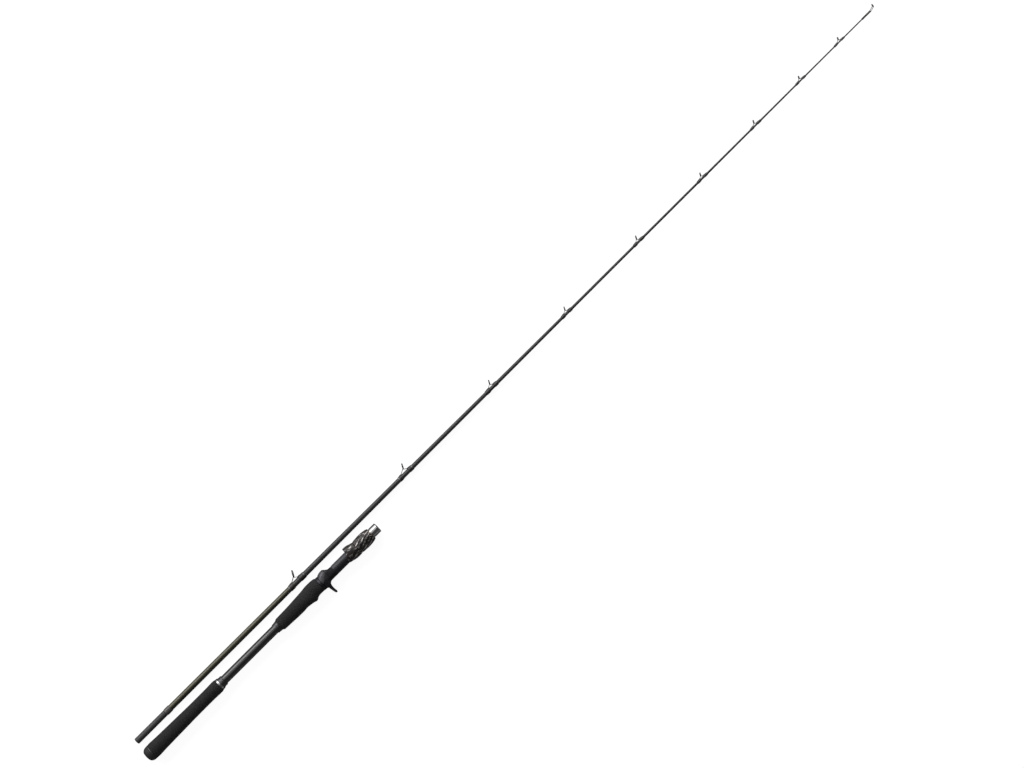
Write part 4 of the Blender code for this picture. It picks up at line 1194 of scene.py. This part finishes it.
def ceramic_outline(hole, seat, half):
    """Cross-section of a ceramic ring: rounded all the way through its hole."""
    points = []
    for step in range(25):
        angle = math.pi * (0.5 + step / 24)
        points.append((half * math.sin(angle), seat + (seat - hole) * math.cos(angle)))
    return points[::-1]


def on_band(centre, lean, radius, spread, side):
    """A point on a leaning ring, spread round it from its lowest point."""
    down = Vector((-math.sin(lean), -math.cos(lean), 0))
    return centre + radius * (math.cos(spread) * down + math.sin(spread) * Vector((0, 0, side)))


def ringed(name, lean, outer, half, supports):
    """A guide's band, with the supports that join it, and the ceramic ring inside."""
    colours = bpy.context.scene.rod_colours
    inner = outer - BAND
    band = ring_shape(middle(f"{name}_ring"), lean, band_outline(inner, outer, 0.8 * MM))
    look = shared("guide_smoked_metal", smoked_look, colours.smoked[:])
    piece = shown(f"{name}_band", band, look)
    join_up(piece, "UNION", supports)
    place(piece, "tip_section", "guide_metal", f"{name}_frame")
    outline = ceramic_outline(inner - 0.35 * MM - 0.1 * outer, inner - 0.02 * MM, half)
    ring = ring_shape(middle(f"{name}_ring"), lean, outline)
    look = shared("guide_ring_ceramic", ceramic_look, colours.ceramic[:])
    put(f"{name}_ceramic", ring, look, "tip_section", "ring_ceramic", f"{name}_ring")


def whipped(name, coat, foot=None):
    """The thread and resin of one wrap."""
    scene = bpy.context.scene
    colour, strand = scene.rod_colours.thread[:], scene.rod_details.strand
    look = shared("wrap_resin", thread_look, TIP_LINE, colour, strand)
    shape = wrap_shape(*ends(f"{name}_wrap"), coat, foot)
    node = f"{name}_wrap"
    put(f"{name}_whipping", shape, look, "tip_section", "wrap_thread", node, smooth=60)


class ROD_OT_guides(bpy.types.Operator):
    """Model the ring guides: bands on two legs and a brace, ceramic rings, and their wraps"""

    bl_idname = "rod.guides"
    bl_label = "Guides"

    def execute(self, context):
        coat = context.scene.rod_details.coat
        silver = shade(context.scene.rod_colours.bright[:], 0.45)
        silver = turned_look("wrap_trim", TIP_LINE, silver, 0.34, 0.1 * MM)
        for index in GUIDES:
            name = f"guide_{index}"
            outer = across(f"{name}_frame")
            half = 0.13 * MM + 0.18 * outer
            ringed(name, RING_LEAN, outer, 1 * MM, self.supports(name, outer, half))
            for side in ("rear", "front"):
                wrap, rearward = f"{name}_{side}", side == "rear"
                foot = (half, 0.72 * MM, rearward)
                whipped(wrap, coat * (0.75 + 0.25 * outer / (6 * MM)), foot)
                if index <= TRIMMED:
                    band = self.trim(*ends(f"{wrap}_wrap"), rearward)
                    put(f"{wrap}_trim", band, silver, "tip_section", "satin_alloy")
        return {"FINISHED"}

    def trim(self, start, end, rearward):
        """A bright band at the outer end of a wrap."""
        size = blank_radius(start if rearward else end) + 0.6 * MM
        rear = start + 0.5 * MM if rearward else end - 1.6 * MM
        front = start + 1.6 * MM if rearward else end - 0.5 * MM
        outline = [(front, size), (rear, size), (rear, size - 0.5 * MM), (front, size - 0.5 * MM)]
        return soften(spun(outline, TIP_LINE, 48), 0.12 * MM)

    def supports(self, name, outer, half):
        """Two rear legs, a front brace and the two feet of one guide."""
        rear_start, rear_end = ends(f"{name}_rear_wrap")
        front_start, front_end = ends(f"{name}_front_wrap")
        line, centre, reach = TIP_LINE, middle(f"{name}_ring"), outer - 0.1 * MM
        feet = ((rear_start + MM, rear_end + 1.5 * MM), (front_start - 1.5 * MM, front_end - MM))
        shapes = []
        for start, end in feet:
            floor = line.y + blank_radius(start) + 0.05 * MM
            low, high = (start, floor, line.z - half), (end, floor + 0.7 * MM, line.z + half)
            shapes.append(slab(low, high, 0.22 * MM))
        heel_x = rear_end + 0.5 * MM
        heel_y = line.y + blank_radius(heel_x) + 0.55 * MM
        for side in (-1, 1):
            heel = Vector((heel_x - 0.7 * MM, heel_y - 0.05 * MM, line.z + side * half * 0.62))
            bend = Vector((heel_x + 0.5 * MM, heel_y + 0.35 * MM, line.z + side * half * 0.75))
            top = on_band(centre, RING_LEAN, reach, LEGS, side)
            path = [heel, heel.lerp(bend, 0.6), bend]
            path += [bend.lerp(top, 0.35), bend.lerp(top, 0.7), top]
            thick = 0.36 * MM + 0.02 * outer
            sizes = [(thick * 1.15, thick * 0.85)] * 2 + [(thick, thick)] * 3
            shapes.append(along(path, sizes + [(thick * 1.25, thick)]))
        toe_x = front_start - 0.5 * MM
        toe_y = line.y + blank_radius(toe_x) + 0.45 * MM
        toe = Vector((toe_x + 0.4 * MM, toe_y, line.z + 0.01 * MM))
        low = on_band(centre, RING_LEAN, reach, 0.02, 1)
        path = [low, low.lerp(toe, 0.35), low.lerp(toe, 0.7), toe]
        flat = [(0.62 * MM, 0.36 * MM), (0.5 * MM, 0.34 * MM), (0.5 * MM, 0.34 * MM)]
        shapes.append(along(path, flat + [(0.62 * MM, 0.34 * MM)]))
        return shapes


class ROD_OT_tip_top(bpy.types.Operator):
    """Model the end guide: a tube on the tip, side legs, a brace and a ceramic ring"""

    bl_idname = "rod.tip_top"
    bl_label = "Tip-Top"

    def execute(self, context):
        outer = across("tip_top_ring") + 0.8 * MM
        ringed("tip_top", TIP_LEAN, outer, 0.9 * MM, self.supports(outer))
        whipped("tip_top", context.scene.rod_details.coat * 0.9)
        return {"FINISHED"}

    def supports(self, outer):
        """The tube on the blank's end, two side legs and a brace below."""
        line, centre, reach = TIP_LINE, middle("tip_top_ring"), outer - 0.1 * MM
        rear = ends("tip_top_wrap")[1] + 0.3 * MM
        end = ends("blank")[1]
        bore = blank_radius(rear) + 0.05 * MM
        wall = bore + 0.55 * MM
        nose = end + 1.0 * MM
        outline = [(nose, 0), (nose - 0.05 * MM, wall * 0.5), (nose - 0.5 * MM, wall * 0.93)]
        outline += [(nose - 1.1 * MM, wall), (rear + 0.3 * MM, wall), (rear, bore + 0.2 * MM)]
        outline += [(rear, bore), (end + 0.1 * MM, bore), (end + 0.1 * MM, 0)]
        shapes = [spun(outline, line, 40)]
        for side in (-1, 1):
            heel = Vector((nose - 3.4 * MM, line.y, line.z + side * (wall - 0.1 * MM)))
            top = on_band(centre, TIP_LEAN, reach, TIP_LEGS, side)
            path = [heel, heel.lerp(top, 0.3), heel.lerp(top, 0.7), top]
            shapes.append(along(path, [(0.42 * MM, 0.42 * MM)] * 4))
        heel = Vector((nose - 1.6 * MM, line.y - wall + 0.1 * MM, line.z + 0.01 * MM))
        low = on_band(centre, TIP_LEAN, reach, 0.02, 1)
        shapes.append(along([heel, heel.lerp(low, 0.4), low], [(0.42 * MM, 0.38 * MM)] * 3))
        return shapes


# ---------------------------------------------------------------- stage
AIM = (-2.3 * MM, 0.2 * MM)  # the point of the floor that the camera is over


def softbox(name, angle, distance, width, brightness):
    """A long soft light beside the rod. angle is from straight above, towards +Y."""
    length = 7.0
    lamp = bpy.data.lights.new(name, "AREA")
    lamp.shape = "RECTANGLE"
    lamp.size, lamp.size_y = length, width
    lamp.energy = brightness * math.pi * length * width
    holder = bpy.data.objects.new(name, lamp)
    angle = math.radians(angle)
    holder.location = (0, distance * math.sin(angle), distance * math.cos(angle))
    holder.rotation_euler = (-angle, 0, 0)
    bpy.context.scene.collection.objects.link(holder)


def sheet(name, look, reach, at=(0, 0, 0)):
    """A flat sheet of the stage, which reaches so far from its middle in X and in Y."""
    shape = bmesh.new()
    laid = Matrix.Translation(at) @ Matrix.Diagonal((*reach, 1, 1))
    bmesh.ops.create_grid(shape, x_segments=1, y_segments=1, size=1, matrix=laid)
    piece = shown(name, shape, look.material)
    return piece


class ROD_OT_stage(bpy.types.Operator):
    """Lay the plain floor, set the soft lights and put the camera straight over the rod"""

    bl_idname = "rod.stage"
    bl_label = "Stage"

    def execute(self, context):
        settings = context.scene.rod_stage
        look = Look("floor_paint", Specular_IOR_Level=0.0, Roughness=0.9)
        cloud = look.noise(look.spot(), 1.2)
        base = look.blend(cloud, settings.floor[:], shade(settings.floor[:], 0.96))
        look.set(Base_Color=base, Emission_Color=(1, 1, 1, 1), Emission_Strength=settings.glow)
        sheet("floor", look, (15, 15)).visible_glossy = False

        world = bpy.data.worlds.new("surroundings")
        world.use_nodes = True
        back = world.node_tree.nodes["Background"]
        back.inputs["Color"].default_value = (1, 1, 1, 1)
        back.inputs["Strength"].default_value = settings.sky
        context.scene.world = world
        softbox("key", 56, 3.0, 1.7, settings.key)
        softbox("top", 18, 6.0, 2.7, settings.top)
        softbox("side", 82, 4.0, 1.1, settings.side)
        softbox("rim", -83, 4.0, 0.9, settings.rim)
        shine = Look("card_white", Base_Color=(0, 0, 0, 1), Emission_Color=(1, 1, 1, 1))
        shine.set(Emission_Strength=settings.side, Specular_IOR_Level=0.0)
        card = sheet("card", shine, (1.2, 0.395), (0, 0.42, -0.1 * MM))
        card.visible_camera = card.visible_diffuse = card.visible_shadow = False

        lens = bpy.data.cameras.new("camera")
        lens.lens = settings.lens
        camera = bpy.data.objects.new("camera", lens)
        height = settings.width * settings.lens / lens.sensor_width
        camera.location = (*AIM, height)
        camera.rotation_euler = (0, 0, settings.turn)
        lens.clip_end = 50
        context.scene.collection.objects.link(camera)
        context.scene.camera = camera
        context.scene.view_settings.view_transform = "Standard"
        return {"FINISHED"}


class ROD_PT_pieces(bpy.types.Panel):
    """Pieces and settings of the rod"""

    bl_label = "Casting Rod"
    bl_idname = "ROD_PT_pieces"
    bl_space_type = "VIEW_3D"
    bl_region_type = "UI"
    bl_category = "Casting Rod"

    def draw(self, context):
        for step in STEPS:
            self.layout.operator(step.bl_idname)
        scene = context.scene
        for group in (scene.rod_colours, scene.rod_details, scene.rod_stage):
            column = self.layout.column()
            for setting in group.__annotations__:
                column.prop(group, setting)


STEPS = (
    ROD_OT_stage,
    ROD_OT_butt,
    ROD_OT_rear_grip,
    ROD_OT_main_grip,
    ROD_OT_rings,
    ROD_OT_tube,
    ROD_OT_reel_seat,
    ROD_OT_front_hood,
    ROD_OT_lock_nut,
    ROD_OT_collar,
    ROD_OT_blank,
    ROD_OT_guides,
    ROD_OT_tip_top,
)
CLASSES = (RodColours, RodDetails, StageSettings, *STEPS, ROD_PT_pieces)


def register():
    for made in CLASSES:
        bpy.utils.register_class(made)
    bpy.types.Scene.rod_colours = PointerProperty(type=RodColours)
    bpy.types.Scene.rod_details = PointerProperty(type=RodDetails)
    bpy.types.Scene.rod_stage = PointerProperty(type=StageSettings)


def unregister():
    del bpy.types.Scene.rod_stage
    del bpy.types.Scene.rod_details
    del bpy.types.Scene.rod_colours
    for made in reversed(CLASSES):
        bpy.utils.unregister_class(made)


def main():
    register()
    bpy.ops.rod.stage()
    bpy.ops.rod.butt()
    bpy.ops.rod.rear_grip()
    bpy.ops.rod.main_grip()
    bpy.ops.rod.rings()
    bpy.ops.rod.tube()
    bpy.ops.rod.reel_seat()
    bpy.ops.rod.front_hood()
    bpy.ops.rod.lock_nut()
    bpy.ops.rod.collar()
    bpy.ops.rod.blank()
    bpy.ops.rod.guides()
    bpy.ops.rod.tip_top()


if __name__ == "__main__":
    main()
